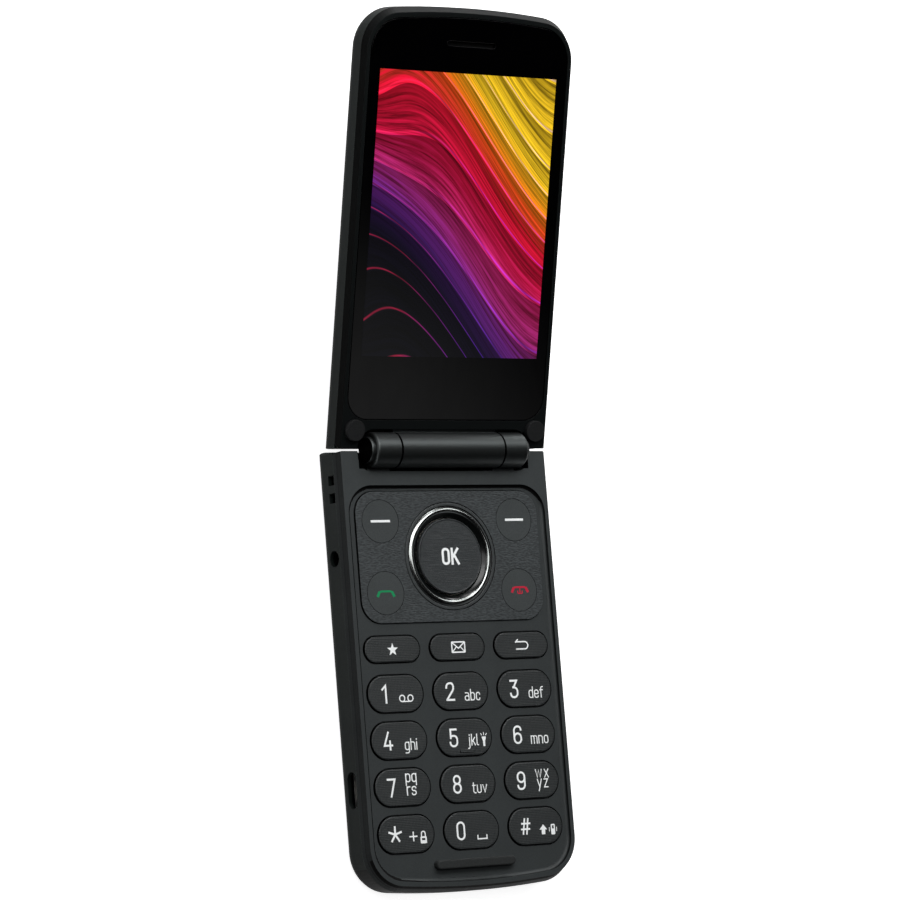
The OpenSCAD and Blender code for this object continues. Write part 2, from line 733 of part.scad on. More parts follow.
module charge_port() color("#a4a7aa") in_base()
    translate([-body_w / 2 + wall + stop_gap, -port_from_axis, -side_z - 0.05]) {
        rotate([90, 0, 90]) linear_extrude(port_l) difference() {
            round_rect(port_w - 0.3, port_h - 0.8, 0.6);
            round_rect(port_w - 0.3 - 2 * port_shell_t, port_h - 0.8 - 2 * port_shell_t, 0.4);
        }
        translate([port_l - 1, -port_w / 2 + 0.4, -1]) cube([1, port_w - 0.8, 2]);
        translate([1, -1.8, -0.3]) cube([port_l - 1, 3.6, 0.6]);
    }

module headphone_jack() color("#151617") in_base()
    translate([-jack_in + stop_gap, -jack_from_axis, -side_z - 0.2]) difference() {
        translate([0, -jack_half, -jack_half]) cube([jack_l - stop_gap, 2 * jack_half, 2 * jack_half]);
        rotate([0, 90, 0]) translate([0, 0, -1]) cylinder(r = jack_r, h = jack_l + 2);
    }

module loudspeaker() color("#3a3d40") in_base() translate([speaker_at[0], speaker_at[1], floor_z]) {
    linear_extrude(speaker_size[2]) round_rect(speaker_size[0], speaker_size[1], 2);
    linear_extrude(speaker_size[2] + 0.4) round_rect(speaker_size[0] - 4, speaker_size[1] - 4, 1.5);
}

module microphone() color("#b0b3b6") in_base()
    translate([mic_x, -base_len + mic_from_end, board_low_z - mic_t]) cylinder(r = mic_r, h = mic_t);

module vibration_motor() color("#a9acae") in_base()
    translate([body_w / 2 - wall - 3, -base_len / 2 - 3, floor_z + motor_r]) rotate([90, 0, 0]) {
        cylinder(r = motor_r, h = motor_l);
        translate([0, 0, motor_l]) cylinder(r = 0.4, h = 0.8);
        translate([0, 0, motor_l + 0.8]) intersection() {
            cylinder(r = motor_r - 0.2, h = 3);
            translate([-motor_r, -motor_r, 0]) cube([2 * motor_r, motor_r + 0.4, 3]);
        }
    }

module antenna() color("#c6a15a") in_base()
    translate([-antenna_l / 2, -base_len + antenna_from_end, floor_z])
        cube([antenna_l, antenna_t, board_low_z - floor_z]);

module base_screws() color("#8d9093") in_base()
    for (p = base_screws_at) translate([p[0], p[1], head_z]) difference() {
        union() {
            cylinder(r = head_r, h = head_t);
            cylinder(r = screw_r, h = screw_top_z - head_z);
        }
        translate([0, 0, -eps]) cylinder(r = socket_r, h = head_t / 2, $fn = 6);
    }

module bumper_bar() color("#2a2c2e") in_base()
    translate([0, -base_len + 5.9, 0])
        pill_block(bar_size[0], bar_size[1], tray_z, rim_z + closed_gap / 2, 0.3);

// ---------------------------------------------------------------- keys

module key_cap(w, h) {
    pill_block(w, h, flange_z - eps, key_top_z, key_top_rounding);
    plate(key_low_z, flange_z) pill(w + 2 * flange_w, h + 2 * flange_w);
}

module number_key(row, col) {
    color("#2e3032") in_base() translate([col * col_pitch, rows[row], 0]) key_cap(key_w, key_h);
}

module func_key(col) color("#2e3032") in_base()
    translate([col * col_pitch, -func_from_axis, 0]) key_cap(key_w, func_h);

module round_key(x, from_axis) color("#3c4042") in_base() translate([x, -from_axis, 0]) {
    translate([0, 0, nav_seat_z - stop_gap - eps]) cylinder(r = disc_r, h = nav_t + stop_gap + eps);
    translate([0, 0, key_low_z]) cylinder(r = disc_r + flange_w, h = nav_seat_z - stop_gap - key_low_z);
}

module key_1() number_key(0, -1);
module key_2() number_key(0, 0);
module key_3() number_key(0, 1);
module key_4() number_key(1, -1);
module key_5() {
    number_key(1, 0);
    color("#2e3032") in_base() translate([0.4, rows[1] - key_h / 2 + nib_from_edge, key_top_z - eps])
        linear_extrude(0.2) pill(3.8, 0.6);
}
module key_6() number_key(1, 1);
module key_7() number_key(2, -1);
module key_8() number_key(2, 0);
module key_9() number_key(2, 1);
module key_star() number_key(3, -1);
module key_0() number_key(3, 0);
module key_hash() number_key(3, 1);
module favourite_key() func_key(-1);
module message_key() func_key(0);
module back_key() func_key(1);
module soft_key_left() round_key(-disc_x, soft_from_axis);
module soft_key_right() round_key(disc_x, soft_from_axis);
module call_key() round_key(-disc_x, call_from_axis);
module end_key() round_key(disc_x, call_from_axis);

module ok_key() color("#33373a") in_base() translate([0, ring_y, 0]) rotate_extrude() {
    translate([0, nav_seat_z]) square([ok_r, key_top_z - key_edge_r - nav_seat_z]);
    translate([0, nav_seat_z]) square([ok_r - key_edge_r, key_top_z - nav_seat_z]);
    translate([ok_r - key_edge_r, key_top_z - key_edge_r]) circle(key_edge_r);
    translate([0, ok_low_z]) square([ok_r - 3, nav_seat_z - ok_low_z + eps]);
}

// the ring: a flat outer band, a bright ridge and a groove that falls to the OK key
module nav_ring() color("#2f3335") in_base() translate([0, ring_y, 0]) rotate_extrude() {
    low = key_low_z + 0.05;
    polygon([[ring_in_r, low], [ring_flange_r, low], [ring_flange_r, low + 0.2], [ring_r, low + 0.2],
             [ring_r, key_top_z + 0.05], [ring_r - 1, key_top_z + 0.1],
             [ring_r - 1.2, key_top_z + 0.3], [ring_r - 1.6, key_top_z + 0.3],
             [ring_r - 1.9, key_top_z], [ring_r - 2.5, key_top_z - 0.3],
             [ring_in_r, key_top_z - 0.35]]);
}

module nav_carrier() color("#7b7f83") in_base() translate([0, ring_y, mat_z])
    difference() {
        cylinder(r = carrier_r, h = 0.12);
        translate([0, 0, -1]) cylinder(r = ring_in_r, h = 3);
    }

module volume_rocker() color("#26282a") in_base()
    translate([0, rocker_y, -side_z - 0.4]) {
        translate([body_w / 2 + rocker_out, 0, 0]) rotate([0, 90, 0]) rotate([0, 0, 90])
            pill_block(rocker_l, rocker_h, rocker_pivot_x - body_w / 2 - rocker_out, 0, 0.4);
        translate([rocker_pivot_x - rocker_flange_t / 2, 0, 0]) rotate([90, 0, 90])
            linear_extrude(rocker_flange_t)
                round_rect(rocker_l + 2 * rocker_flange_w, rocker_h + 0.8, 0.8);
    }

// ---------------------------------------------------------------- hinge

module hinge_end_caps() color("#2b2d2f") in_base() both_sides() turned_x() {
    edge = 0.4;
    out = knuckle_end + cap_reach;
    translate([0, knuckle_end - 0.4]) square([cartridge_r, out - edge - knuckle_end + 0.4]);
    translate([0, knuckle_end - 0.4]) square([cartridge_r - edge, out - knuckle_end + 0.4]);
    translate([cartridge_r - edge, out - edge]) circle(edge);
}

module hinge_cam_shaft() color("#a5a8ab") in_base() mirror([1, 0, 0]) {
    rod_x(cartridge_r, barrel_half + 2 * fit, knuckle_end - 0.5);
    rod_x(shaft_r, 1.8, barrel_half + 1);
    rod_x(cartridge_r - 0.65, barrel_half - 2.1, barrel_half - 1.1);
}

module hinge_bush_pin() color("#a5a8ab") in_base() difference() {
    union() {
        rod_x(cartridge_r, barrel_half + 2 * fit, knuckle_end - 0.5);
        rod_x(cartridge_r - 0.65, barrel_half - 4.3, barrel_half + 1);
    }
    rod_x(shaft_r + 0.2, 0, knuckle_end + 1);
}

module hinge_cartridge() color("#85888b") in_lid() mirror([1, 0, 0]) difference() {
    rod_x(cartridge_r, 1, barrel_half - 0.1);
    rod_x(cartridge_r - 0.55, 1.6, barrel_half - 1);
    rod_x(shaft_r + run, 0, barrel_half + 1);
}

// a coil spring round the shaft, as a swept wire
module hinge_spring() color("#c0c3c5") in_lid() mirror([1, 0, 0]) {
    turns = 6;
    per_turn = 16;
    sides = 8;
    wire = 0.3;
    first = 1.6 + 2 * wire;
    last = barrel_half - 2.2 - 2 * wire;
    mean_r = cartridge_r - 0.65 - wire;
    n = turns * per_turn;
    points = [for (i = [0:n], j = [0:sides - 1])
        let (a = 360 * i / per_turn, b = 360 * j / sides, r = mean_r + wire * cos(b))
        [first + (last - first) * i / n + wire * sin(b), r * cos(a), r * sin(a)]];
    walls = [for (i = [0:n - 1], j = [0:sides - 1]) let (k = (j + 1) % sides)
        each [[i * sides + j, (i + 1) * sides + j, (i + 1) * sides + k],
              [i * sides + j, (i + 1) * sides + k, i * sides + k]]];
    polyhedron(points, concat(walls, [[for (j = [0:sides - 1]) j],
        [for (j = [sides - 1:-1:0]) n * sides + j]]));
}

module hinge_flex() color("#b0762c") in_lid() rod_x(shaft_r - 0.1, 1.2, knuckle_end - 1);

// ---------------------------------------------------------------- lid

module lid_inner_housing() color("#2b2d2f") in_lid() {
    difference() {
        drafted_half(lid_ear_gap, lid_len, lid_split_z);
        ear_cut(lid_ear_gap, lid_split_z);
        notch(lid_notch_r, lid_ear_gap, lid_split_z - eps);
        plate(lens_low_z, rim_z + 1) lens_outline(2 * fit);
        plate(lid_split_z - 1, rim_z) translate([0, view_y])
            square([view_w + 1.6, view_h + 1.6], center = true);
        plate(lid_split_z - 1, rim_z) translate([0, slot_y]) square([slot_w + 1, 3], center = true);
        both_sides() translate([bumper_at[0], bumper_at[1], 0]) {
            plate(rim_z - bumper_seat, rim_z + 1) circle(bumper_r + fit);
            plate(lid_head_z, rim_z) circle(head_r + fit);
            plate(lid_split_z - 1, rim_z) circle(screw_r + fit);
        }
    }
    difference() {
        union() {
            rod_x(barrel_r, -barrel_half, barrel_half);
            translate([-barrel_half, 0, notch_z + 0.3])
                cube([2 * barrel_half, notch_d + 0.44, lid_split_z - notch_z - 0.3 + eps]);
            translate([-barrel_half, 0, lid_split_z])
                cube([2 * barrel_half, notch_d + 0.2, rim_z - 0.25 - lid_split_z]);
        }
        rod_x(cartridge_r + run, -barrel_half - 1, -0.9);
        rod_x(shaft_r + 0.2, -2, barrel_half);
        rod_x(cartridge_r - 0.65 + run, barrel_half - 4.4, barrel_half + 1);
    }
}

module lens_outline(gap) {
    w = lens_w + 2 * gap;
    near = lens_from_axis - gap;
    intersection() {
        half_outline(w, near, lens_far + gap, corner_r - draft_side - lens_rim + gap);
        translate([0, near + w]) round_rect(w, 2 * w, lens_r + gap);
    }
}

module display_lens() color("#08090a") in_lid() difference() {
    plate(lens_low_z, lens_z) lens_outline(0);
    translate([0, slot_y, 0]) plate(lens_low_z - 1, lens_z + 1) pill(slot_w, slot_h);
}

module lid_outer_cover() color("#1f2123") in_lid() difference() {
    rounded_half(lid_ear_gap - lid_lean, lid_len, lid_back_z, lid_split_z);
    plate(lid_floor_z, lid_split_z + 1)
        half_outline(body_w - 2 * wall, lid_in_near, lid_len - wall, corner_r - wall);
    ear_cut(lid_ear_gap - lid_lean, lid_back_z);
    notch(lid_notch_r, lid_ear_gap - lid_lean, notch_z);
    translate([-barrel_half - fit, notch_d - 1, notch_z]) cube([2 * (barrel_half + fit), 1.54, -notch_z]);
    hinge_end_cut(lid_ear_gap, lid_back_z, lid_split_z, lid_lean);
    plate(lid_back_z - 1, lid_back_z + outer_t) outer_outline(fit);
    plate(lid_back_z - 1, lid_floor_z + 1) translate([0, outer_view_y])
        square([outer_view[0] + 2 * fit, outer_view[1] + 2 * fit], center = true);
    plate(lid_back_z - 1, lid_floor_z + 1) translate(camera_at) square(camera_w + 2 * fit, center = true);
    plate(lid_back_z - 1, lid_floor_z + 1) translate(flash_at) circle(flash_r + 0.3);
    both_sides() translate([bumper_at[0], bumper_at[1], lid_floor_z]) cylinder(r = screw_r + eps, h = 10);
}

module outer_outline(gap) {
    translate([0, (outer_near + outer_far) / 2])
        round_rect(outer_w + 2 * gap, outer_far - outer_near + 2 * gap, 6 + gap);
}

module outer_lens() color("#08090a") in_lid() difference() {
    plate(lid_back_z, lid_back_z + outer_t) outer_outline(0);
    translate([camera_at[0], camera_at[1], lid_back_z - 1]) cylinder(r = camera_r, h = 3);
    translate([flash_at[0], flash_at[1], lid_back_z - 1]) cylinder(r = flash_r, h = 3);
}

module outer_display() color("#1a2026") in_lid() {
    plate(lid_back_z + outer_t, lid_floor_z) translate([0, outer_view_y]) square(outer_view, center = true);
    plate(lid_floor_z, lid_floor_z + 0.5) translate([0, outer_view_y])
        square([outer_view[0] + 3, outer_view[1] + 3], center = true);
}

module camera_module() color("#141516") in_lid() {
    translate([camera_at[0], camera_at[1], 0]) difference() {
        union() {
            plate(lid_back_z + outer_t, lid_split_z - 0.3) square(camera_w, center = true);
            plate(lid_back_z + 0.15, lid_back_z + outer_t + eps) circle(camera_r - 0.15);
        }
        translate([0, 0, lid_back_z]) cylinder(r1 = 1.9, r2 = 1, h = 0.6);
    }
}

module display_module() color("#3b4046") in_lid() {
    plate(module_low_z, lid_split_z) translate([0, (module_near + module_far) / 2])
        square([module_w, module_far - module_near], center = true);
    plate(lid_split_z - eps, lens_low_z - stop_gap) translate([0, view_y])
        square([view_w + 1, view_h + 1], center = true);
}

module lid_board() color("#1f5a36") in_lid() {
    plate(module_low_z - lid_board_t, module_low_z) translate([-lid_board_w / 2, lid_board_near])
        square([lid_board_w, lid_board_far - lid_board_near]);
    plate(lid_back_z + outer_t, lid_floor_z + eps) translate(flash_at) circle(flash_r - fit);
    plate(lid_floor_z, lid_floor_z + 0.4) translate(flash_at) square(4, center = true);
}

module earpiece() color("#2c2e30") in_lid() translate([0, slot_y, 0]) {
    plate(lid_split_z - 1.6, lid_split_z) round_rect(earpiece_size[0], earpiece_size[1], 1.5);
    plate(lid_split_z - eps, lens_low_z - stop_gap) square([slot_w + 0.6, 2.6], center = true);
}

module lid_magnet() color("#9fa2a5") in_lid()
    translate([magnet_at[0], magnet_at[1], lid_floor_z])
        cube([magnet_size[0], magnet_size[1], lid_split_z - lid_floor_z]);

module lid_bumpers() color("#242628") in_lid() both_sides()
    translate([bumper_at[0], bumper_at[1], 0]) rotate_extrude() {
        low = rim_z - bumper_seat;
        top = rim_z + closed_gap - stop_gap;
        edge = 0.15;
        translate([0, low]) square([bumper_r, top - low - edge]);
        translate([0, low]) square([bumper_r - edge, top - low]);
        translate([bumper_r - edge, top - edge]) circle(edge);
    }

module lid_screws() color("#8d9093") in_lid() both_sides()
    translate([bumper_at[0], bumper_at[1], 0]) difference() {
        union() {
            plate(lid_head_z, rim_z - bumper_seat) circle(head_r);
            plate(lid_floor_z + 0.4, lid_head_z + eps) circle(screw_r);
        }
        translate([0, 0, rim_z - bumper_seat - 0.3]) cylinder(r = socket_r, h = 1, $fn = 6);
    }

// ---------------------------------------------------------------- parts

base_front_housing();
base_rear_housing();
battery_cover();
battery();
battery_connector();
main_board();
shield_cans();
card_reader();
keypad_mat();
dome_sheet();
nav_plate();
charge_port();
headphone_jack();
loudspeaker();
microphone();
vibration_motor();
antenna();
base_screws();
bumper_bar();
hinge_end_caps();
hinge_cam_shaft();
hinge_bush_pin();
key_1();
key_2();
key_3();
key_4();
key_5();
key_6();
key_7();
key_8();
key_9();
key_star();
key_0();
key_hash();
favourite_key();
message_key();
back_key();
soft_key_left();
soft_key_right();
call_key();
end_key();
ok_key();
nav_carrier();
nav_ring();
volume_rocker();
lid_inner_housing();
lid_outer_cover();
display_lens();
display_module();
lid_board();
earpiece();
lid_magnet();
lid_bumpers();
lid_screws();
outer_lens();
outer_display();
camera_module();
hinge_cartridge();
hinge_spring();
hinge_flex();
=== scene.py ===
import math

import bpy
import numpy as np
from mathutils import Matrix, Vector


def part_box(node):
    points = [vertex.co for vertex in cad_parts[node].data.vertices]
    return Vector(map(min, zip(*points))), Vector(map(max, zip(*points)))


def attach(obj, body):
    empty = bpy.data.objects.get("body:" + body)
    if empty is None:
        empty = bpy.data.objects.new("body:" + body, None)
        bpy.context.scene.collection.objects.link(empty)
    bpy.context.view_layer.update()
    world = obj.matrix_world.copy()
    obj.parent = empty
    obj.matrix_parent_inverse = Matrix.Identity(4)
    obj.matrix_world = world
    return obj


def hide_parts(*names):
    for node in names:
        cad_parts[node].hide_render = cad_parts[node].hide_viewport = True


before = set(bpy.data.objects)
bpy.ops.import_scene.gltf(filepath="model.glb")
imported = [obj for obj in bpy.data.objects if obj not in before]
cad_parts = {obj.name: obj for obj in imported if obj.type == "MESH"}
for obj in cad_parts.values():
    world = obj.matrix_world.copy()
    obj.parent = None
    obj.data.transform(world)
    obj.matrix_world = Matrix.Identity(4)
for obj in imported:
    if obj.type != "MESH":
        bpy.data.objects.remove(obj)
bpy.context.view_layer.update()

# ------------------------------------------------------------------ camera
# The phone lies open on its back. The camera stands to its left, high above,
# and a long lens keeps the two halves almost without perspective.
camera = bpy.data.objects.new("camera", bpy.data.cameras.new("camera"))
bpy.context.scene.collection.objects.link(camera)
camera.data.sensor_width = 36
camera.data.lens = 159.2
camera.data.clip_start, camera.data.clip_end = 0.05, 20
camera.location = (-0.483842, -0.05141, 0.713377)
camera.rotation_euler = [math.radians(a) for a in (9.6330, -33.9495, -5.3952)]
bpy.context.scene.camera = camera
bpy.context.scene.view_settings.view_transform = "Standard"

# ------------------------------------------------------------------ studio
# Large soft lamps in a dim room. Its ceiling is dark, so that the glass and
# the glossy plastic stay black, and its walls are pale near the floor.


def plug(material, node, inputs):
    """Gives each named or numbered input of a node a number, a colour or another node's output."""
    for name, value in inputs.items():
        socket = node.inputs[int(name[1:])] if name[1:].isdigit() else node.inputs[name.replace("_", " ")]
        if isinstance(value, bpy.types.NodeSocket):
            material.node_tree.links.new(value, socket)
        else:
            socket.default_value = value


def join(material, kind, settings=(), **inputs):
    """Adds one shader node to a material and returns its outputs."""
    node = material.node_tree.nodes.new(kind)
    for name, value in dict(settings).items():
        setattr(node, name, value)
    plug(material, node, inputs)
    return node.outputs


def feed(material, **inputs):
    """Plugs values into a material's principled body."""
    plug(material, material.node_tree.nodes["Principled BSDF"], inputs)


def fed(material, name):
    """What an input of a material's principled body holds so far: an output or a plain value."""
    socket = material.node_tree.nodes["Principled BSDF"].inputs[name]
    return socket.links[0].from_socket if socket.is_linked else socket.default_value


def sum_of(material, kind, a, b=0.0, c=0.0):
    """One step of arithmetic between shader values, such as MULTIPLY or SINE."""
    return join(material, "ShaderNodeMath", {"operation": kind}, _0=a, _1=b, _2=c)[0]


def ramp_of(material, value, low, high, to_low, to_high, curve="LINEAR"):
    """Carries a value between low and high over to the span from to_low to to_high."""
    return join(material, "ShaderNodeMapRange", {"interpolation_type": curve},
                _0=value, _1=low, _2=high, _3=to_low, _4=to_high)[0]


def mix_of(material, share, under, over, kind="MIX"):
    """Lays one colour over another by a share, or multiplies or adds it."""
    return join(material, "ShaderNodeMix", {"data_type": "RGBA", "blend_type": kind},
                _0=share, _6=under, _7=over)[2]


def parts_of(material, vector):
    """The three parts of a vector."""
    return list(join(material, "ShaderNodeSeparateXYZ", {}, Vector=vector))


def reach_of(material, a, b):
    """The root of a squared plus b squared."""
    squares = [sum_of(material, "POWER", side, 2.0) for side in (a, b)]
    return sum_of(material, "SQRT", sum_of(material, "ADD", *squares))


world = bpy.data.worlds.new("studio")
bpy.context.scene.world = world
world.use_nodes = True
room_way = join(world, "ShaderNodeTexCoord")["Generated"]
room_x, _, room_z = parts_of(world, room_way)
room_shade = world.node_tree.nodes.new("ShaderNodeValToRGB")
room_foot, room_top = room_shade.color_ramp.elements
room_foot.position, room_foot.color = 0.0, (0.40, 0.41, 0.42, 1)
room_top.position, room_top.color = 0.45, (0.001, 0.001, 0.0012, 1)
world.node_tree.links.new(room_z, room_shade.inputs[0])
room_wall = join(world, "ShaderNodeVectorMath", {"operation": "SCALE"}, _0=room_shade.outputs[0],
                 Scale=ramp_of(world, room_x, -0.3, 0.5, 1.0, 0.6))[0]
# one small soft window high on the right, which the glossy glass mirrors at its lower left
room_aim = join(world, "ShaderNodeVectorMath", {"operation": "DOT_PRODUCT"}, _0=room_way,
                _1=(0.520, -0.345, 0.781))["Value"]
room_glow = ramp_of(world, room_aim, 0.9942, 0.9998, 0.0, 0.42, "SMOOTHERSTEP")
room_light = join(world, "ShaderNodeVectorMath", {"operation": "ADD"}, _0=room_wall, _1=room_glow)[0]
plug(world, world.node_tree.nodes["Background"], {"Color": room_light})


def hang_softbox(name, place, aim, width, height, watts):
    """A flat rectangular lamp at place, turned so that it shines at aim."""
    lamp = bpy.data.lights.new(name, "AREA")
    lamp.shape, lamp.size, lamp.size_y, lamp.energy = "RECTANGLE", width, height, watts
    softbox = bpy.data.objects.new(name, lamp)
    bpy.context.scene.collection.objects.link(softbox)
    way = np.subtract(aim, place)
    softbox.location = place
    pitch, heading = math.acos(-way[2] / np.linalg.norm(way)), math.atan2(way[1], way[0]) - math.pi / 2
    softbox.rotation_euler = (pitch, 0, heading)


hang_softbox("back_softbox", (-0.05, 0.29, 0.35), (0, 0.03, 0), 0.42, 0.18, 1.40)
hang_softbox("low_softbox", (0.14, 1.0, 0.36), (0, 0.08, 0), 0.40, 0.22, 1.2)
hang_softbox("end_softbox", (0.50, 0.95, 0.12), (0, 0.14, 0.03), 0.50, 0.16, 2.4)
hang_softbox("right_softbox", (0.62, 0.64, 0.66), (0, 0.05, 0), 0.42, 0.40, 1.7)
hang_softbox("left_strip", (-0.38, 0.18, 0.88), (0, 0.03, 0), 0.36, 1.0, 2.4)

# ------------------------------------------------------------------ table
# A wide sheet of white card. It lifts to white for the camera and for gloss,
# and keeps the phone's soft shadow.
table_mesh = bpy.data.meshes.new("table")
table_mesh.from_pydata([(-3, -3, 0), (3, -3, 0), (3, 3, 0), (-3, 3, 0)], [], [(0, 1, 2, 3)])
table = bpy.data.objects.new("table", table_mesh)
bpy.context.scene.collection.objects.link(table)
card = bpy.data.materials.new("white_card")
card.use_nodes = True
feed(card, Base_Color=(0.72, 0.72, 0.72, 1), Roughness=0.9, Specular_IOR_Level=0.0)
card_rays = join(card, "ShaderNodeLightPath")
card_seen = sum_of(card, "MAXIMUM", card_rays["Is Camera Ray"], card_rays["Is Glossy Ray"])
card_seen = sum_of(card, "MAXIMUM", card_seen, card_rays["Is Transmission Ray"])
card_lift = join(card, "ShaderNodeEmission", {}, Color=(0.90, 0.90, 0.90, 1), Strength=card_seen)[0]
card_paper = card.node_tree.nodes["Principled BSDF"].outputs[0]
card_sum = join(card, "ShaderNodeAddShader", {}, _0=card_paper, _1=card_lift)[0]
plug(card, card.node_tree.nodes["Material Output"], {"Surface": card_sum})
table_mesh.materials.append(card)

# ------------------------------------------------------------------ moulded housings
# Four shells of black plastic, injection moulded in spark-eroded tools that
# leave a fine matt grain. They close on each other with screws and clips.
hinge_y, hinge_z = 0.04735, 0.0097
lid_tilt = math.radians(15)


def in_mm(material, centre=(0, 0, 0), tilt=0.0, stretch=(1, 1, 1)):
    """Place on the piece in millimetres from centre, turned back by tilt about X and stretched per axis."""
    place = join(material, "ShaderNodeTexCoord")["Object"]
    near = join(material, "ShaderNodeVectorMath", {"operation": "SUBTRACT"}, _0=place, _1=centre)[0]
    turned = join(material, "ShaderNodeVectorRotate", {"rotation_type": "X_AXIS"}, Vector=near,
                  Angle=-tilt)[0]
    return join(material, "ShaderNodeVectorMath", {"operation": "MULTIPLY"}, _0=turned,
                _1=tuple(1000 * s for s in stretch))[0]


def tint(material, tone):
    """Multiplies a material's colour by a grey tone."""
    grey = join(material, "ShaderNodeCombineColor", {}, _0=tone, _1=tone, _2=tone)[0]
    feed(material, Base_Color=mix_of(material, 1.0, fed(material, "Base Color"), grey, "MULTIPLY"))


def coat(material, share, colour, roughness=None):
    """Lays another colour over part of a material, and another roughness where one is given."""
    feed(material, Base_Color=mix_of(material, share, fed(material, "Base Color"), colour))
    if roughness is not None:
        feed(material, Roughness=join(material, "ShaderNodeMix", {"data_type": "FLOAT"}, _0=share,
                                      _2=fed(material, "Roughness"), _3=roughness)[0])


def press_in(material, height, depth, strength=1.0):
    """Adds a pattern of that depth to the bumps that a material has so far."""
    bump = join(material, "ShaderNodeBump", {}, Height=height, Distance=depth, Strength=strength,
                Normal=fed(material, "Normal"))[0]
    feed(material, Normal=bump)


def mould_plastic(name, colour, roughness, gloss, grain_mm, depth_mm,
                  edge_mm=0.12, mottle=0.18, wall_shade=None, tilt=0.0):
    """Moulded plastic: a two-tone mottle, an uneven sheen, a spark-eroded grain and rounded edges. Where
    a share is given for the walls, walls square to the front keep that share of the colour as painted shade,
    are matter and carry a dull metallic film."""
    plastic = bpy.data.materials.new(name)
    plastic.use_nodes = True
    mm = in_mm(plastic)
    cloud = join(plastic, "ShaderNodeTexNoise", {}, Vector=mm, Scale=0.12, Detail=3.0)[0]
    speck = join(plastic, "ShaderNodeTexNoise", {}, Vector=mm, Scale=1 / grain_mm, Detail=2.0)[0]
    blend = sum_of(plastic, "MULTIPLY_ADD", speck, 0.6, sum_of(plastic, "MULTIPLY", cloud, 0.4))
    tone = ramp_of(plastic, blend, 0.3, 0.7, 0.0, 1.0)
    dark, light = [tuple(c * (1 + side * mottle) for c in colour) + (1,) for side in (-1, 1)]
    edge = join(plastic, "ShaderNodeBevel", {"samples": 4}, Radius=edge_mm / 1000)[0]
    feed(plastic, Base_Color=mix_of(plastic, tone, dark, light), Specular_IOR_Level=gloss, Normal=edge)
    press_in(plastic, speck, depth_mm / 1000)
    matt = ramp_of(plastic, tone, 0.0, 1.0, roughness + 0.05, roughness - 0.05)
    if wall_shade is not None:
        facing = join(plastic, "ShaderNodeNewGeometry")["Normal"]
        level = join(plastic, "ShaderNodeVectorMath", {"operation": "DOT_PRODUCT"}, _0=facing,
                     _1=(0, -math.sin(tilt), math.cos(tilt)))[1]
        # walls turned from the front get painted shade: a darker share of the colour
        wall_shade_tone = ramp_of(plastic, level, 0.35, 0.85, wall_shade, 1.0, "SMOOTHSTEP")
        tint(plastic, wall_shade_tone)
        matt = sum_of(plastic, "MULTIPLY_ADD", wall_shade_tone, -0.35, sum_of(plastic, "ADD", matt, 0.35))
        feed(plastic, Metallic=sum_of(plastic, "SUBTRACT", 1.0, wall_shade_tone))
    feed(plastic, Roughness=matt)
    return plastic


def round_barrel(plastic, colour, roughness):
    """Gives the parts close to the hinge axis the barrel's lacquer and a dark metallic film, and paints black
    shade on what lies beyond its ends and in the fine gaps between its pieces."""
    barrel_r, barrel_half, film_half, gap_at, gap_half = 3.95, 22.1, 20.50, 13.42, 0.24
    x, y, z = parts_of(plastic, in_mm(plastic, centre=(0, hinge_y, hinge_z)))
    across = sum_of(plastic, "ABSOLUTE", x)
    near = sum_of(plastic, "MULTIPLY", sum_of(plastic, "LESS_THAN", reach_of(plastic, y, z), barrel_r),
                  sum_of(plastic, "LESS_THAN", across, barrel_half))
    # beyond the lacquer's ends and in the gaps the colour is black painted shade
    bright = sum_of(plastic, "SUBTRACT", sum_of(plastic, "LESS_THAN", across, film_half),
                    sum_of(plastic, "COMPARE", across, gap_at, gap_half))
    film = mix_of(plastic, bright, (0.0008, 0.0008, 0.0008, 1), tuple(colour) + (1,))
    coat(plastic, near, film, sum_of(plastic, "MULTIPLY_ADD", bright, roughness - 0.9, 0.9))
    feed(plastic, Metallic=sum_of(plastic, "MAXIMUM", near, fed(plastic, "Metallic")))


def paint_port_shade(plastic, inner_x, low_z):
    """Paints black shade on the walls of the openings: all that lies further in than inner_x and above low_z.
    """
    x, _, z = parts_of(plastic, in_mm(plastic))
    inside = sum_of(plastic, "LESS_THAN", sum_of(plastic, "ABSOLUTE", x), inner_x)
    inside = sum_of(plastic, "MULTIPLY", inside, sum_of(plastic, "GREATER_THAN", z, low_z))
    coat(plastic, inside, (0.0006, 0.0006, 0.0006, 1))


def shade_edge(plastic, near, far, near_tone, far_tone, tilt=0.0):
    """Multiplies the colour by a tone that runs from near_tone at the height near to far_tone at far, in
    millimetres above the hinge axis and square to the front: a painted highlight on a shell's edge, or a
    seam's painted shadow."""
    height = parts_of(plastic, in_mm(plastic, centre=(0, hinge_y, hinge_z), tilt=tilt))[2]
    tint(plastic, ramp_of(plastic, height, near, far, near_tone, far_tone))


def paint_cove_shade(plastic, low_z, high_z):
    """Paints black shade on the cove between the two heights where it turns to the right or to the keys' side,
    away from the lamps.
    """
    height = parts_of(plastic, in_mm(plastic))[2]
    x, y, _ = parts_of(plastic, join(plastic, "ShaderNodeNewGeometry")["Normal"])
    turned = sum_of(plastic, "GREATER_THAN", sum_of(plastic, "MAXIMUM", sum_of(plastic, "MULTIPLY", x, 6.0),
                                                    sum_of(plastic, "MULTIPLY", y, -1.0)), 0.30)
    between = sum_of(plastic, "MULTIPLY", sum_of(plastic, "GREATER_THAN", height, low_z),
                     sum_of(plastic, "LESS_THAN", height, high_z))
    coat(plastic, sum_of(plastic, "MULTIPLY", turned, between), (0.0008, 0.0008, 0.0008, 1), 0.9)


def finish_nodes(material, *names):
    """Gives a finish to the named pieces of the frame."""
    for name in names:
        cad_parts[name].material_slots[0].material = material


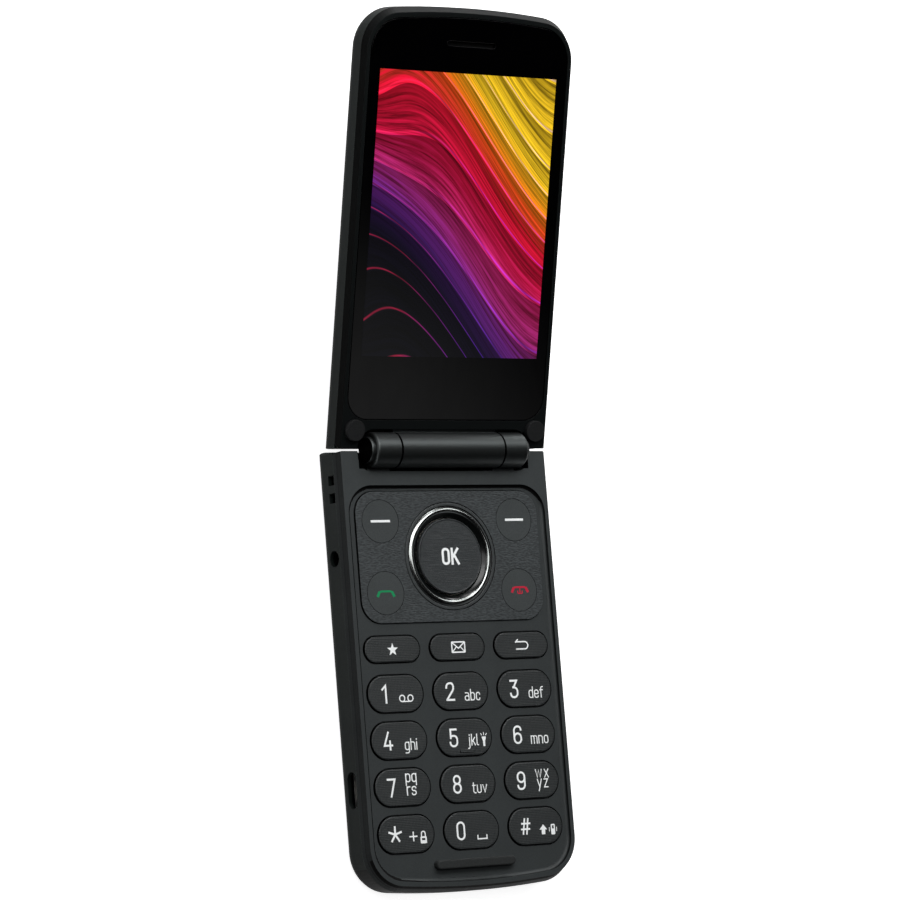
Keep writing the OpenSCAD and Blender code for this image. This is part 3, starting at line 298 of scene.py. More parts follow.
front_plastic = mould_plastic("front_plastic", (0.040, 0.045, 0.046), 0.45, 0.20, 0.22, 0.010, wall_shade=0.30)
lid_plastic = mould_plastic("lid_plastic", (0.0034, 0.0044, 0.0045), 0.40, 0.15, 0.22, 0.006,
                            wall_shade=0.22, tilt=lid_tilt)
barrel_plastic = mould_plastic("barrel_plastic", (0.0025, 0.0027, 0.0027), 0.24, 0.12, 0.20, 0.002)
# painted black shade in the tray's cove where it faces away from the lamps
paint_cove_shade(front_plastic, low_z=8.31, high_z=9.14)
# the seam's painted shadow line, and under it the rear housing's tone
shade_edge(front_plastic, near=-1.84, far=-1.74, near_tone=0.25, far_tone=1.0)
shade_edge(front_plastic, near=-1.96, far=-1.88, near_tone=5.6, far_tone=1.0)
# the lid seam's painted shadow line
shade_edge(lid_plastic, near=-1.90, far=-1.65, near_tone=0.25, far_tone=1.0, tilt=lid_tilt)
# the barrel's ends and the gaps between its pieces get painted black shade
for barrel_part in (front_plastic, lid_plastic, barrel_plastic):
    round_barrel(barrel_part, (0.066, 0.072, 0.072), 0.42)
base_shell = mould_plastic("base_shell", (0.0086, 0.0112, 0.0106), 0.52, 0.045, 0.26, 0.012)
# a painted highlight along the rear shell's edge at the seam
shade_edge(base_shell, near=-3.25, far=-2.90, near_tone=1.0, far_tone=1.5)
# the walls inside the side openings get painted black shade
paint_port_shade(base_shell, inner_x=26.3, low_z=1.3)
lid_shell = mould_plastic("lid_shell", (0.0050, 0.0070, 0.0066), 0.52, 0.045, 0.26, 0.012)
# a painted highlight along the lid shell's edge at the seam
shade_edge(lid_shell, near=-2.45, far=-2.10, near_tone=1.0, far_tone=1.5, tilt=lid_tilt)
shell_plastic = mould_plastic("shell_plastic", (0.0080, 0.0098, 0.0093), 0.50, 0.06, 0.26, 0.012)
finish_nodes(front_plastic, "base_front_housing")
finish_nodes(lid_plastic, "lid_inner_housing")
finish_nodes(base_shell, "base_rear_housing")
finish_nodes(lid_shell, "lid_outer_cover")
finish_nodes(shell_plastic, "battery_cover", "volume_rocker")
finish_nodes(barrel_plastic, "hinge_end_caps")

# ------------------------------------------------------------------ rubber stops
# A bar below the keys and two round pads beside the barrel, moulded in black
# rubber. They are pressed into their seats and keep the two halves apart.
stop_rubber = mould_plastic("stop_rubber", (0.024, 0.026, 0.026), 0.72, 0.20, 0.35, 0.010, edge_mm=0.30)
pad_rubber = mould_plastic("pad_rubber", (0.0085, 0.0090, 0.0095), 0.70, 0.20, 0.35, 0.008, edge_mm=0.10)
finish_nodes(stop_rubber, "bumper_bar")
finish_nodes(pad_rubber, "lid_bumpers")

# ------------------------------------------------------------------ number and function keys
# Pill-shaped keys of black polycarbonate over the silicone mat. Their tops
# carry a fine grid of raised dots and are a little glossier than the tray.


def stud_keys(name, colour, dot_mm):
    """Key plastic with dots on a square grid: their height is the size of sin(x) times sin(y)."""
    key = mould_plastic(name, colour, 0.34, 0.34, 0.18, 0.004, edge_mm=0.18, wall_shade=0.04)
    waves = [sum_of(key, "SINE", sum_of(key, "MULTIPLY", axis, math.pi / dot_mm))
             for axis in parts_of(key, in_mm(key))[:2]]
    dot = sum_of(key, "ABSOLUTE", sum_of(key, "MULTIPLY", *waves))
    tint(key, sum_of(key, "MULTIPLY_ADD", dot, 0.95, 0.62))
    press_in(key, dot, 0.00005)
    return key


key_plastic = stud_keys("key_plastic", (0.0262, 0.0296, 0.0302), 0.36)
finish_nodes(key_plastic, "key_1", "key_2", "key_3", "key_4", "key_5", "key_6", "key_7", "key_8", "key_9",
             "key_star", "key_0", "key_hash", "favourite_key", "message_key", "back_key")

# ------------------------------------------------------------------ navigation plate and round keys
# The plate is glued into its seat. It is moulded with short fine dashes like
# leather, and four flat matt keys pass through it.
plate_plastic = mould_plastic("plate_plastic", (0.040, 0.045, 0.047), 0.44, 0.32, 0.3, 0.004, wall_shade=0.2)
dashes = join(plate_plastic, "ShaderNodeTexVoronoi", {"feature": "SMOOTH_F1"},
              Vector=in_mm(plate_plastic, stretch=(1.15, 4.2, 1)), Scale=1.0, Smoothness=0.4)[0]
press_in(plate_plastic, dashes, 0.00006, 0.9)
tint(plate_plastic, ramp_of(plate_plastic, dashes, 0.1, 0.7, 0.55, 1.40))
round_key_plastic = mould_plastic("round_key_plastic", (0.048, 0.054, 0.055), 0.58, 0.22, 0.3, 0.003,
                                  wall_shade=0.5)
finish_nodes(plate_plastic, "nav_plate")
finish_nodes(round_key_plastic, "soft_key_left", "soft_key_right", "call_key", "end_key")

# ------------------------------------------------------------------ navigation ring and OK key
# The ring tilts on its steel carrier. Its band is plated, its inner slope is
# gloss black, and the dished OK key inside it is brushed across.
ring_low, ring_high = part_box("nav_ring")
ring_centre = ((ring_low[0] + ring_high[0]) / 2, (ring_low[1] + ring_high[1]) / 2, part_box("nav_plate")[1][2])


def turn_ring(name, profile, steps):
    """A closed profile of radius and height in millimetres, carried once round the ring's axis: at turn a, a
    corner lies radius times cos(a) across, radius times sin(a) along and height up from the centre."""
    radius, height = np.array(profile).T
    angle = np.linspace(0, 2 * math.pi, steps, endpoint=False)[:, None]
    corners = np.stack((ring_centre[0] + radius * np.cos(angle) / 1000,
                        ring_centre[1] + radius * np.sin(angle) / 1000,
                        np.broadcast_to(ring_centre[2] + height / 1000, (steps, len(radius)))), 2)
    n = len(radius)
    i, j = np.meshgrid(np.arange(n), np.arange(steps))
    near, far = j * n, (j + 1) % steps * n
    faces = np.stack((near + i, far + i, far + (i + 1) % n, near + (i + 1) % n), 2).reshape(-1, 4)
    mesh = bpy.data.meshes.new(name)
    mesh.from_pydata(corners.reshape(-1, 3).tolist(), [], faces.tolist())
    mesh.shade_smooth()
    turned = bpy.data.objects.new(name, mesh)
    bpy.context.scene.collection.objects.link(turned)
    return turned


# the band leans in from its outer edge, the crest bends over it, and the slope falls to the OK key
ring_foot = (ring_low[2] - ring_centre[2]) * 1000
bore_r, rim_r, band_outer, band_w = 8.47, 11.63, 10.78, 0.44
crest_bend, crest_lean, slope_r_end, slope_z_end = 0.62, 28, 8.52, -0.62
band_slope = np.radians(np.linspace(40, crest_lean, 8))
band_r = band_outer - np.linspace(0, band_w, 8)
band_z = np.concatenate(([0.0], np.cumsum(np.tan((band_slope[1:] + band_slope[:-1]) / 2) * band_w / 7)))
crest_turn = np.radians(np.linspace(-crest_lean, 45, 16))[1:]
crest_r = band_r[-1] - crest_bend * (np.sin(crest_turn) + math.sin(math.radians(crest_lean)))
crest_z = band_z[-1] + crest_bend * (np.cos(crest_turn) - math.cos(math.radians(crest_lean)))
slope_share = np.linspace(0, 1, 8)[1:]
slope_r = crest_r[-1] + (slope_r_end - crest_r[-1]) * slope_share
slope_z = crest_z[-1] + (slope_z_end - crest_z[-1]) * slope_share ** 0.8
ring_profile = [(bore_r, ring_foot), (rim_r, ring_foot), (rim_r, -0.03), (11.60, 0.03), (11.53, 0.05),
                (11.04, 0.05), (10.98, 0.04), (10.93, -0.02), (10.92, -0.16), (10.79, -0.16),
                (band_outer, -0.03), *zip(band_r, band_z), *zip(crest_r, crest_z), *zip(slope_r, slope_z),
                (bore_r, -0.68)]
navigation_ring = turn_ring("navigation_ring", ring_profile, 160)

ring_plastic = mould_plastic("ring_plastic", (0.044, 0.049, 0.050), 0.42, 0.36, 0.3, 0.003, edge_mm=0.04)
ring_reach = reach_of(ring_plastic, *parts_of(ring_plastic, in_mm(ring_plastic, centre=ring_centre))[:2])
plated_at, plated_half, black_within, groove_at, groove_half = 10.14, 0.64, 9.52, 10.87, 0.095
plated = sum_of(ring_plastic, "COMPARE", ring_reach, plated_at, plated_half)
# the inner slope is gloss black, and the fine groove in the band is painted black shade
black_and_groove_shade = sum_of(ring_plastic, "MAXIMUM", sum_of(ring_plastic, "LESS_THAN", ring_reach, black_within),
                   sum_of(ring_plastic, "COMPARE", ring_reach, groove_at, groove_half))
coat(ring_plastic, black_and_groove_shade, (0.003, 0.0036, 0.0036, 1))
coat(ring_plastic, plated, (0.40, 0.42, 0.41, 1))
ring_polish = ramp_of(ring_plastic, sum_of(ring_plastic, "MAXIMUM", plated, black_and_groove_shade), 0.0, 1.0, 0.42, 0.20)
feed(ring_plastic, Roughness=ring_polish, Metallic=plated)
navigation_ring.data.materials.append(ring_plastic)
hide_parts("nav_ring")
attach(navigation_ring, "nav_ring")

ok_plastic = mould_plastic("ok_plastic", (0.030, 0.034, 0.036), 0.38, 0.40, 0.25, 0.002, edge_mm=0.12)
brush_lines = join(ok_plastic, "ShaderNodeTexNoise", {}, Vector=in_mm(ok_plastic, stretch=(0.35, 9, 1)),
                   Scale=1.0, Detail=4.0, Roughness=0.65)[0]
press_in(ok_plastic, brush_lines, 0.00009)
tint(ok_plastic, ramp_of(ok_plastic, brush_lines, 0.3, 0.7, 0.62, 1.40))
ok_reach = reach_of(ok_plastic, *parts_of(ok_plastic, in_mm(ok_plastic, centre=ring_centre))[:2])
dish_r, dish_end = 7.74, 8.00
press_in(ok_plastic, ramp_of(ok_plastic, ok_reach, dish_r, dish_end, 0.0, 1.0, "SMOOTHSTEP"), 0.00020)
finish_nodes(ok_plastic, "ok_key")

# ------------------------------------------------------------------ printed key marks
# Digits, letters and small signs in white ink, with a green and a red handset.
# They are printed on the key tops and lit from behind when a key is pressed.


def bend_path(points, radius, closed=False):
    """Points of a path with rounded corners: each corner becomes an arc that touches both of its sides,
    radius / tan(half its angle) away from it, or nearer where a side is too short. radius is one number or
    one for each corner."""
    p = np.array(points, float)
    if not np.any(radius):
        return p
    before, after = np.roll(p, 1, 0), np.roll(p, -1, 0)
    a, b = before - p, after - p
    la, lb = np.linalg.norm(a, axis=1), np.linalg.norm(b, axis=1)
    a, b = a / la[:, None], b / lb[:, None]
    half = np.arccos(np.clip((a * b).sum(1), -0.9999, 0.9999)) / 2
    radius = np.broadcast_to(np.asarray(radius, float), (len(p),)) + 1e-5
    room = np.minimum(la, lb) * 0.5
    if not closed:
        room[1] = min(la[1], lb[1] * (1.0 if len(p) == 3 else 0.5))
        room[-2] = min(lb[-2], la[-2] * (1.0 if len(p) == 3 else 0.5))
        room[0] = room[-1] = 0
    touch = np.minimum(radius / np.tan(half), room)
    reach = touch / np.cos(half)
    inward = np.maximum(np.linalg.norm(a + b, axis=1), 1e-9)[:, None]
    middle = p + (a + b) / inward * reach[:, None]
    start, stop = p + a * touch[:, None] - middle, p + b * touch[:, None] - middle
    turn = np.arctan2(start[:, 0] * stop[:, 1] - start[:, 1] * stop[:, 0], (start * stop).sum(1))
    angle = np.arctan2(start[:, 1], start[:, 0])[:, None] + turn[:, None] * np.linspace(0, 1, 9)
    size = np.linalg.norm(start, axis=1)[:, None]
    arc = middle[:, None, :] + np.stack((np.cos(angle) * size, np.sin(angle) * size), 2)
    if not closed:
        arc[0], arc[-1] = p[0], p[-1]
    arc = arc.reshape(-1, 2)
    keep = np.linalg.norm(arc - np.roll(arc, 1, 0), axis=1) > 1e-6
    keep[0] = keep[0] or not closed
    return arc[keep]


def ink_band(path, width, closed, low, high):
    """A flat bar along a path, from low to high. Its sides stand off each point by half the width times
    (s + t) / (1 + s . t), where s and t are square to the steps before and after the point. An open bar is
    longer by half a width at each end."""
    p = np.array(path, float)
    if not closed:
        ends = np.array([p[0] - p[1], p[-1] - p[-2]])
        ends /= np.linalg.norm(ends, axis=1)[:, None]
        p = np.vstack((p[:1] + ends[:1] * width / 2, p[1:-1], p[-1:] + ends[1:] * width / 2))
    step = np.roll(p, -1, 0) - p
    if not closed:
        step[-1] = step[-2]
    step /= np.linalg.norm(step, axis=1)[:, None]
    side = np.stack((-step[:, 1], step[:, 0]), 1)
    last = np.roll(side, 1, 0)
    if not closed:
        last[0] = side[0]
    mean = (side + last) / np.maximum(1 + (side * last).sum(1), 0.35)[:, None]
    left, right = p + mean * width / 2, p - mean * width / 2
    n = len(p)
    flat = np.vstack((left, right, left, right))
    heights = np.repeat((high, low), 2 * n)
    i = np.arange(n if closed else n - 1)
    j = (i + 1) % n
    faces = np.vstack((np.stack((i + n, j + n, j, i), 1),
                       np.stack((i + 2 * n, j + 2 * n, j + 3 * n, i + 3 * n), 1),
                       np.stack((i, j, j + 2 * n, i + 2 * n), 1),
                       np.stack((j + n, i + n, i + 3 * n, j + 3 * n), 1)))
    if not closed:
        faces = np.vstack((faces, [[0, 2 * n, 3 * n, n], [2 * n - 1, 4 * n - 1, 3 * n - 1, n - 1]]))
    return np.column_stack((flat, heights)), faces


def ink_patch(outline, low, high):
    """A flat filled shape, from low to high: a fan of triangles between its outline, which runs
    anticlockwise, and the mean of its corners."""
    p = np.array(outline, float)
    n = len(p)
    middle = p.mean(0)
    corners = np.vstack((np.column_stack((np.vstack((p, p)), np.repeat((high, low), n))),
                         [[*middle, high], [*middle, low]]))
    i = np.arange(n)
    j = (i + 1) % n
    top, under = np.full(n, 2 * n), np.full(n, 2 * n + 1)
    return corners, [*np.stack((i, j, top), 1), *np.stack((j + n, i + n, under), 1),
                     *np.stack((i, i + n, j + n, j), 1)]


# each mark has a width and a list of strokes: points in its own cell, corner radius, closed or not
MARKS = {
    "0": (.50, [([(0, 0), (.5, 0), (.5, 1), (0, 1)], .25, True)]),
    "1": (.26, [([(0, .78), (.24, 1), (.24, 0)], 0, False)]),
    "2": (.50, [([(0, .74), (0, 1), (.5, 1), (.5, .62), (0, 0), (.52, 0)], (0, .25, .25, .3, 0, 0), False)]),
    "3": (.50, [([(.02, 1), (.47, 1), (.24, .60)], 0, False),
                ([(.20, .60), (.5, .60), (.5, 0), (0, 0), (0, .22)], .25, False)]),
    "4": (.54, [([(.30, 1), (0, .23), (.54, .23)], 0, False), ([(.40, .48), (.40, 0)], 0, False)]),
    "5": (.50, [([(.45, 1), (.05, 1), (.05, .55)], 0, False),
                ([(.05, .50), (.05, .62), (.5, .62), (.5, 0), (0, 0), (0, .22)], .24, False)]),
    "6": (.50, [([(0, 0), (.5, 0), (.5, .58), (0, .58)], .25, True),
                ([(.5, .80), (.5, 1), (0, 1), (0, .28)], .25, False)]),
    "7": (.50, [([(0, 1), (.5, 1), (.20, 0)], 0, False)]),
    "8": (.50, [([(.03, .53), (.47, .53), (.47, 1), (.03, 1)], .22, True),
                ([(0, 0), (.5, 0), (.5, .53), (0, .53)], .25, True)]),
    "9": (.50, [([(0, .42), (.5, .42), (.5, 1), (0, 1)], .25, True),
                ([(0, .20), (0, 0), (.5, 0), (.5, .72)], .25, False)]),
    "*": (.66, [([(.33, .44), (.33, .80)], 0, False), ([(.33, .44), (-.01, .55)], 0, False),
                ([(.33, .44), (.67, .55)], 0, False),
                ([(.33, .44), (.12, .13)], 0, False), ([(.33, .44), (.54, .13)], 0, False)]),
    "#": (.56, [([(.10, .06), (.24, .90)], 0, False), ([(.34, .06), (.48, .90)], 0, False),
                ([(0, .32), (.54, .32)], 0, False), ([(.04, .64), (.58, .64)], 0, False)]),
    "+": (.60, [([(0, .36), (.6, .36)], 0, False), ([(.3, .06), (.3, .66)], 0, False)]),
    "a": (.42, [([(.04, .70), (.42, .70), (.42, 0)], .17, False),
                ([(0, 0), (.42, 0), (.42, .41), (0, .41)], .16, True)]),
    "b": (.42, [([(0, 1), (0, 0)], 0, False), ([(0, 0), (.42, 0), (.42, .70), (0, .70)], .2, True)]),
    "c": (.38, [([(.38, .54), (.38, .70), (0, .70), (0, 0), (.38, 0), (.38, .16)], .19, False)]),
    "d": (.42, [([(.42, 1), (.42, 0)], 0, False), ([(0, 0), (.42, 0), (.42, .70), (0, .70)], .2, True)]),
    "e": (.42, [([(0, .35), (.42, .35)], 0, False),
                ([(.42, .35), (.42, .70), (0, .70), (0, 0), (.40, 0), (.40, .12)], .19, False)]),
    "f": (.32, [([(.11, 0), (.11, 1), (.34, 1)], .17, False), ([(0, .70), (.30, .70)], 0, False)]),
    "g": (.42, [([(.42, .70), (.42, -.30), (.03, -.30)], .17, False),
                ([(0, 0), (.42, 0), (.42, .70), (0, .70)], .2, True)]),
    "h": (.42, [([(0, 1), (0, 0)], 0, False), ([(0, .70), (.42, .70), (.42, 0)], .2, False)]),
    "i": (.02, [([(0, .70), (0, 0)], 0, False), ([(0, .93), (0, .97)], 0, False)]),
    "j": (.14, [([(.12, .70), (.12, -.30), (-.06, -.30)], .12, False), ([(.12, .93), (.12, .97)], 0, False)]),
    "k": (.38, [([(0, 1), (0, 0)], 0, False), ([(.36, .70), (.02, .30)], 0, False),
                ([(.14, .42), (.38, 0)], 0, False)]),
    "l": (.12, [([(0, 1), (0, 0), (.14, 0)], .1, False)]),
    "m": (.66, [([(0, .70), (0, 0)], 0, False), ([(0, .70), (.33, .70), (.33, 0)], .16, False),
                ([(.33, .70), (.66, .70), (.66, 0)], .16, False)]),
    "n": (.42, [([(0, .70), (0, 0)], 0, False), ([(0, .70), (.42, .70), (.42, 0)], .2, False)]),
    "o": (.42, [([(0, 0), (.42, 0), (.42, .70), (0, .70)], .2, True)]),
    "p": (.42, [([(0, .70), (0, -.30)], 0, False), ([(0, 0), (.42, 0), (.42, .70), (0, .70)], .2, True)]),
    "q": (.42, [([(.42, .70), (.42, -.30)], 0, False), ([(0, 0), (.42, 0), (.42, .70), (0, .70)], .2, True)]),
    "r": (.28, [([(0, .70), (0, 0)], 0, False), ([(0, .40), (0, .70), (.28, .70)], .19, False)]),
    "s": (.38, [([(.37, .58), (.37, .70), (0, .70), (0, .36), (.38, .36), (.38, 0), (0, 0), (0, .12)],
                 .17, False)]),
    "t": (.32, [([(.11, .94), (.11, 0), (.34, 0)], .16, False), ([(0, .70), (.30, .70)], 0, False)]),
    "u": (.42, [([(0, .70), (0, 0), (.42, 0), (.42, .70)], .2, False)]),
    "v": (.42, [([(0, .70), (.21, 0), (.42, .70)], 0, False)]),
    "w": (.64, [([(0, .70), (.16, 0), (.32, .66), (.48, 0), (.64, .70)], 0, False)]),
    "x": (.40, [([(0, .70), (.40, 0)], 0, False), ([(.40, .70), (0, 0)], 0, False)]),
    "y": (.42, [([(0, .70), (.21, .04)], 0, False), ([(.42, .70), (.12, -.30)], 0, False)]),
    "z": (.38, [([(0, .70), (.38, .70), (0, 0), (.38, 0)], 0, False)]),
    "O": (.46, [([(0, 0), (.46, 0), (.46, 1), (0, 1)], .22, True)]),
    "K": (.46, [([(0, 1), (0, 0)], 0, False), ([(.44, 1), (.02, .42)], 0, False),
                ([(.15, .60), (.48, 0)], 0, False)]),
}


def set_line(words, middle_x, base_y, height, stroke, spacing=0.22, squeeze=1.0):
    """Places a word's strokes side by side, with its middle at middle_x and its foot at base_y."""
    widths = [MARKS[w][0] * height * squeeze for w in words]
    x = middle_x - (sum(widths) + spacing * height * (len(words) - 1)) / 2
    strokes = []
    for w, width in zip(words, widths):
        for points, radius, closed in MARKS[w][1]:
            place = np.array(points) * (height * squeeze, height) + (x, base_y)
            strokes.append(("line", place, np.multiply(radius, height), closed, stroke))
        x += width + spacing * height
    return strokes


def set_digit(figure, shift=0.0):
    """The large figure on the left of a number key."""
    return set_line(figure, middle_x=shift - 2.9, base_y=-1.78, height=3.58, stroke=0.43)


def line_at(points, stroke, radius=0.0, closed=False):
    """One stroke of a sign."""
    return ("line", np.array(points, float), radius, closed, stroke)


def patch_at(points):
    """One filled part of a sign."""
    return ("patch", np.array(points, float))


def mix_ink(name, colour):
    """Printing ink: a slightly uneven colour, half matt, with a fine orange-peel bump and a faint glow."""
    ink = bpy.data.materials.new(name)
    ink.use_nodes = True
    fleck = join(ink, "ShaderNodeTexNoise", {}, Vector=in_mm(ink), Scale=3.0, Detail=2.0)[0]
    dark, light = [tuple(c * s for c in colour) + (1,) for s in (0.93, 1.0)]
    feed(ink, Base_Color=mix_of(ink, fleck, dark, light), Roughness=ramp_of(ink, fleck, 0.0, 1.0, 0.42, 0.56),
         Normal=join(ink, "ShaderNodeBump", {}, Height=fleck, Distance=0.000004)[0], Specular_IOR_Level=0.3,
         Emission_Color=tuple(colour) + (1,), Emission_Strength=0.22)
    return ink


white_ink = mix_ink("white_ink", (0.80, 0.82, 0.82))
green_ink = mix_ink("green_ink", (0.006, 0.21, 0.075))
red_ink = mix_ink("red_ink", (0.42, 0.012, 0.035))


def print_marks(key, strokes, ink=white_ink):
    """Makes one thin mesh of all strokes, in millimetres from the middle of the key, and lays it on the
    key's top. The strokes stand a hair above one another, so that tops that cross share no plane."""
    sink, rise, hair = 0.00001, 0.00002, 0.0000012
    low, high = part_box(key)
    centre, top = (low + high) / 2, high[2]
    if key == "key_5":  # its box also holds the raised dash
        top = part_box("key_4")[1][2]
    corners, faces, base = [], [], 0
    for index, stroke in enumerate(strokes):
        if stroke[0] == "line":
            _, points, radius, closed, width = stroke
            c, f = ink_band(bend_path(points, radius, closed), width, closed, 0, 1)
        else:
            c, f = ink_patch(stroke[1], 0, 1)
        height = np.where(c[:, 2] > 0.5, top + rise + hair * (index % 7), top - sink)
        corners.append(np.column_stack((c[:, :2] / 1000 + (centre[0], centre[1]), height)))
        faces += [(face + base).tolist() for face in f]
        base += len(c)
    mesh = bpy.data.meshes.new(key + "_mark")
    mesh.from_pydata(np.vstack(corners).tolist(), [], faces)
    mesh.materials.append(ink)
    mark = bpy.data.objects.new(key + "_mark", mesh)
    bpy.context.scene.collection.objects.link(mark)
    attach(mark, key)


for number, words in {"2": "abc", "3": "def", "4": "ghi", "6": "mno", "8": "tuv"}.items():
    print_marks("key_" + number, set_digit(number) + set_line(words, 2.85, -2.0, 2.28, 0.235))
torch = [patch_at([(4.70, -2.1), (5.20, -2.1), (5.22, -.95), (4.68, -.95)]),
         patch_at([(4.68, -.95), (5.22, -.95), (5.46, -.35), (5.46, 0), (4.44, 0), (4.44, -.35)]),
         line_at([(4.95, .38), (4.95, .86)], .17), line_at([(4.42, .34), (4.22, .66)], .17),
         line_at([(5.48, .34), (5.68, .66)], .17)]
print_marks("key_5", set_digit("5") + set_line("jkl", 2.15, -1.7, 2.28, 0.235) + torch)
print_marks("key_7", set_digit("7") + set_line("pq", 2.15, 1.15, 2.35, 0.26, squeeze=1.05)
            + set_line("rs", 2.1, -1.65, 2.45, 0.26, squeeze=1.05))
print_marks("key_9", set_digit("9") + set_line("wx", 2.7, 0.5, 2.45, 0.22, spacing=0.32)
            + set_line("yz", 2.72, -1.62, 2.45, 0.24, spacing=0.30))
tape = [line_at([(.85, -1.7), (2.15, -1.7), (2.15, -.35), (.85, -.35)], .25, .66, True),
        line_at([(2.95, -1.7), (4.25, -1.7), (4.25, -.35), (2.95, -.35)], .25, .66, True),
        line_at([(1.5, -1.7), (3.6, -1.7)], .25)]
print_marks("key_1", set_digit("1", -0.05) + tape)
lock = [line_at([(3.58, -1.92), (4.82, -1.92), (4.82, -.78), (3.58, -.78)], .36, .05, True),
        line_at([(3.72, -.5), (3.72, .45), (4.68, .45), (4.68, -.5)], .26, .45),
        line_at([(3.95, -1.62), (4.45, -1.62)], .36)]
print_marks("key_star", set_line("*", -2.9, -1.78, 4.3, 0.44) + set_line("+", 1.66, -1.55, 2.9, 0.30) + lock)
space = [line_at([(1.4, -1.2), (1.4, -1.92), (3.75, -1.92), (3.75, -1.2)], .28)]
print_marks("key_0", set_digit("0", 0.02) + space)
arrow_and_buzzer = [patch_at([(0.90, -.85), (2.90, -.85), (1.90, .28)]),
                    line_at([(1.90, -.9), (1.90, -1.40)], .92),
                    line_at([(4.08, -1.90), (4.86, -1.90), (4.86, .10), (4.08, .10)], .28, .1, True),
                    line_at([(4.47, -1.62), (4.47, -1.05)], .62),
                    line_at([(3.50, -1.3), (3.50, -.5)], .14), line_at([(5.44, -1.3), (5.44, -.5)], .14)]
print_marks("key_hash", set_line("#", -2.75, -1.72, 3.75, 0.38) + arrow_and_buzzer)
star_angles = np.radians(90 + 36 * np.arange(10))
star_reach = np.where(np.arange(10) % 2, 0.58, 1.45)
star = np.column_stack((np.cos(star_angles) * star_reach, np.sin(star_angles) * star_reach - 0.1))
print_marks("favourite_key", [patch_at(star)])
print_marks("message_key", [line_at([(-1.5, -1.1), (1.85, -1.1), (1.85, 1.1), (-1.5, 1.1)], .30, .1, True),
                            line_at([(-1.4, 1.0), (.18, -.25), (1.75, 1.0)], .26),
                            line_at([(-1.4, -1.0), (-.35, .05)], .22),
                            line_at([(1.75, -1.0), (.7, .05)], .22)])
print_marks("back_key", [line_at([(-1.35, -.86), (1.7, -.86), (1.7, .72), (-1.45, .72)], .29, .79),
                         line_at([(-.95, 1.16), (-1.5, .66)], .27)])
print_marks("soft_key_left", [line_at([(-2.2, 0.04), (2.2, 0.04)], .50)])
print_marks("soft_key_right", [line_at([(-2.05, 0.04), (2.25, 0.04)], .50)])
print_marks("ok_key", set_line("OK", -0.02, -1.62, 3.15, 0.56, spacing=0.28, squeeze=1.05))
handset = [(-2.0, -.62), (-1.5, .38), (1.5, .38), (2.0, -.62)]
print_marks("call_key", [line_at(handset, .42, .75), line_at([(-2.0, -.5), (-1.72, .05)], .62),
                         line_at([(2.0, -.5), (1.72, .05)], .62)], green_ink)
print_marks("end_key", [line_at(np.array(handset) + (0.15, .25), .42, .75),
                        line_at([(-1.85, -.25), (-1.57, .3)], .62), line_at([(2.15, -.25), (1.87, .3)], .62),
                        line_at([(.15, .3), (.15, -.45)], .28),
                        line_at([(-.45, -.25), (-.5, -.75), (.8, -.75), (.75, -.25)], .24, .3)], red_ink)

# ------------------------------------------------------------------ hinge inside the barrel
# A steel cartridge with its spring and cam shaft on one side, a hollow steel
# pin on the other. They are pushed in from the ends; the flex runs through.


def turn_metal(name, colour, roughness, lines_mm, stretch=(8, 1, 1), tarnish=0.25):
    """Turned or rolled metal: fine tool lines, a patchy oxide tone and an uneven polish."""
    metal = bpy.data.materials.new(name)
    metal.use_nodes = True
    lines = join(metal, "ShaderNodeTexNoise", {}, Vector=in_mm(metal, stretch=stretch), Scale=1 / lines_mm,
                 Detail=3.0)[0]
    patch = join(metal, "ShaderNodeTexNoise", {}, Vector=in_mm(metal), Scale=0.5, Detail=3.0)[0]
    dark, light = [tuple(c * s for c in colour) + (1,) for s in (1 - tarnish, 1.0)]
    feed(metal, Base_Color=mix_of(metal, patch, dark, light), Metallic=1.0,
         Roughness=ramp_of(metal, lines, 0.0, 1.0, roughness - 0.08, roughness + 0.12),
         Normal=join(metal, "ShaderNodeBump", {}, Height=lines, Distance=0.00001)[0])
    return metal


hinge_steel = turn_metal("hinge_steel", (0.46, 0.47, 0.48), 0.32, 1.0)
flex_film = mould_plastic("flex_film", (0.42, 0.17, 0.03), 0.30, 0.5, 0.5, 0.004, mottle=0.3)
finish_nodes(hinge_steel, "hinge_cartridge", "hinge_spring", "hinge_cam_shaft", "hinge_bush_pin")
finish_nodes(flex_film, "hinge_flex")

# ------------------------------------------------------------------ display glass
# One sheet of black-printed acrylic, glued into the lid's inner housing. The
# display shines through the clear window in the print.
glass_ior = 1.40


def back_print(name, colour, roughness):
    """Glossy sheet printed black from behind, with faint wiping marks in its polish."""
    glass = bpy.data.materials.new(name)
    glass.use_nodes = True
    smear = join(glass, "ShaderNodeTexNoise", {}, Vector=in_mm(glass, stretch=(1, 0.3, 1)), Scale=0.25,
                 Detail=5.0)[0]
    dust = join(glass, "ShaderNodeTexNoise", {}, Vector=in_mm(glass), Scale=2.0, Detail=2.0)[0]
    dark, light = [tuple(c * s for c in colour) + (1,) for s in (1.0, 1.5)]
    edge = join(glass, "ShaderNodeBevel", {"samples": 4}, Radius=0.0001)[0]
    feed(glass, Base_Color=mix_of(glass, dust, dark, light), IOR=glass_ior,
         Roughness=ramp_of(glass, smear, 0.3, 0.8, roughness, roughness + 0.05),
         Normal=join(glass, "ShaderNodeBump", {}, Height=smear, Distance=0.000002, Normal=edge)[0])
    return glass


finish_nodes(back_print("lens_gloss", (0.0003, 0.0003, 0.0004), 0.05), "display_lens", "outer_lens")
finish_nodes(back_print("display_black", (0.006, 0.006, 0.008), 0.2), "display_module", "outer_display")

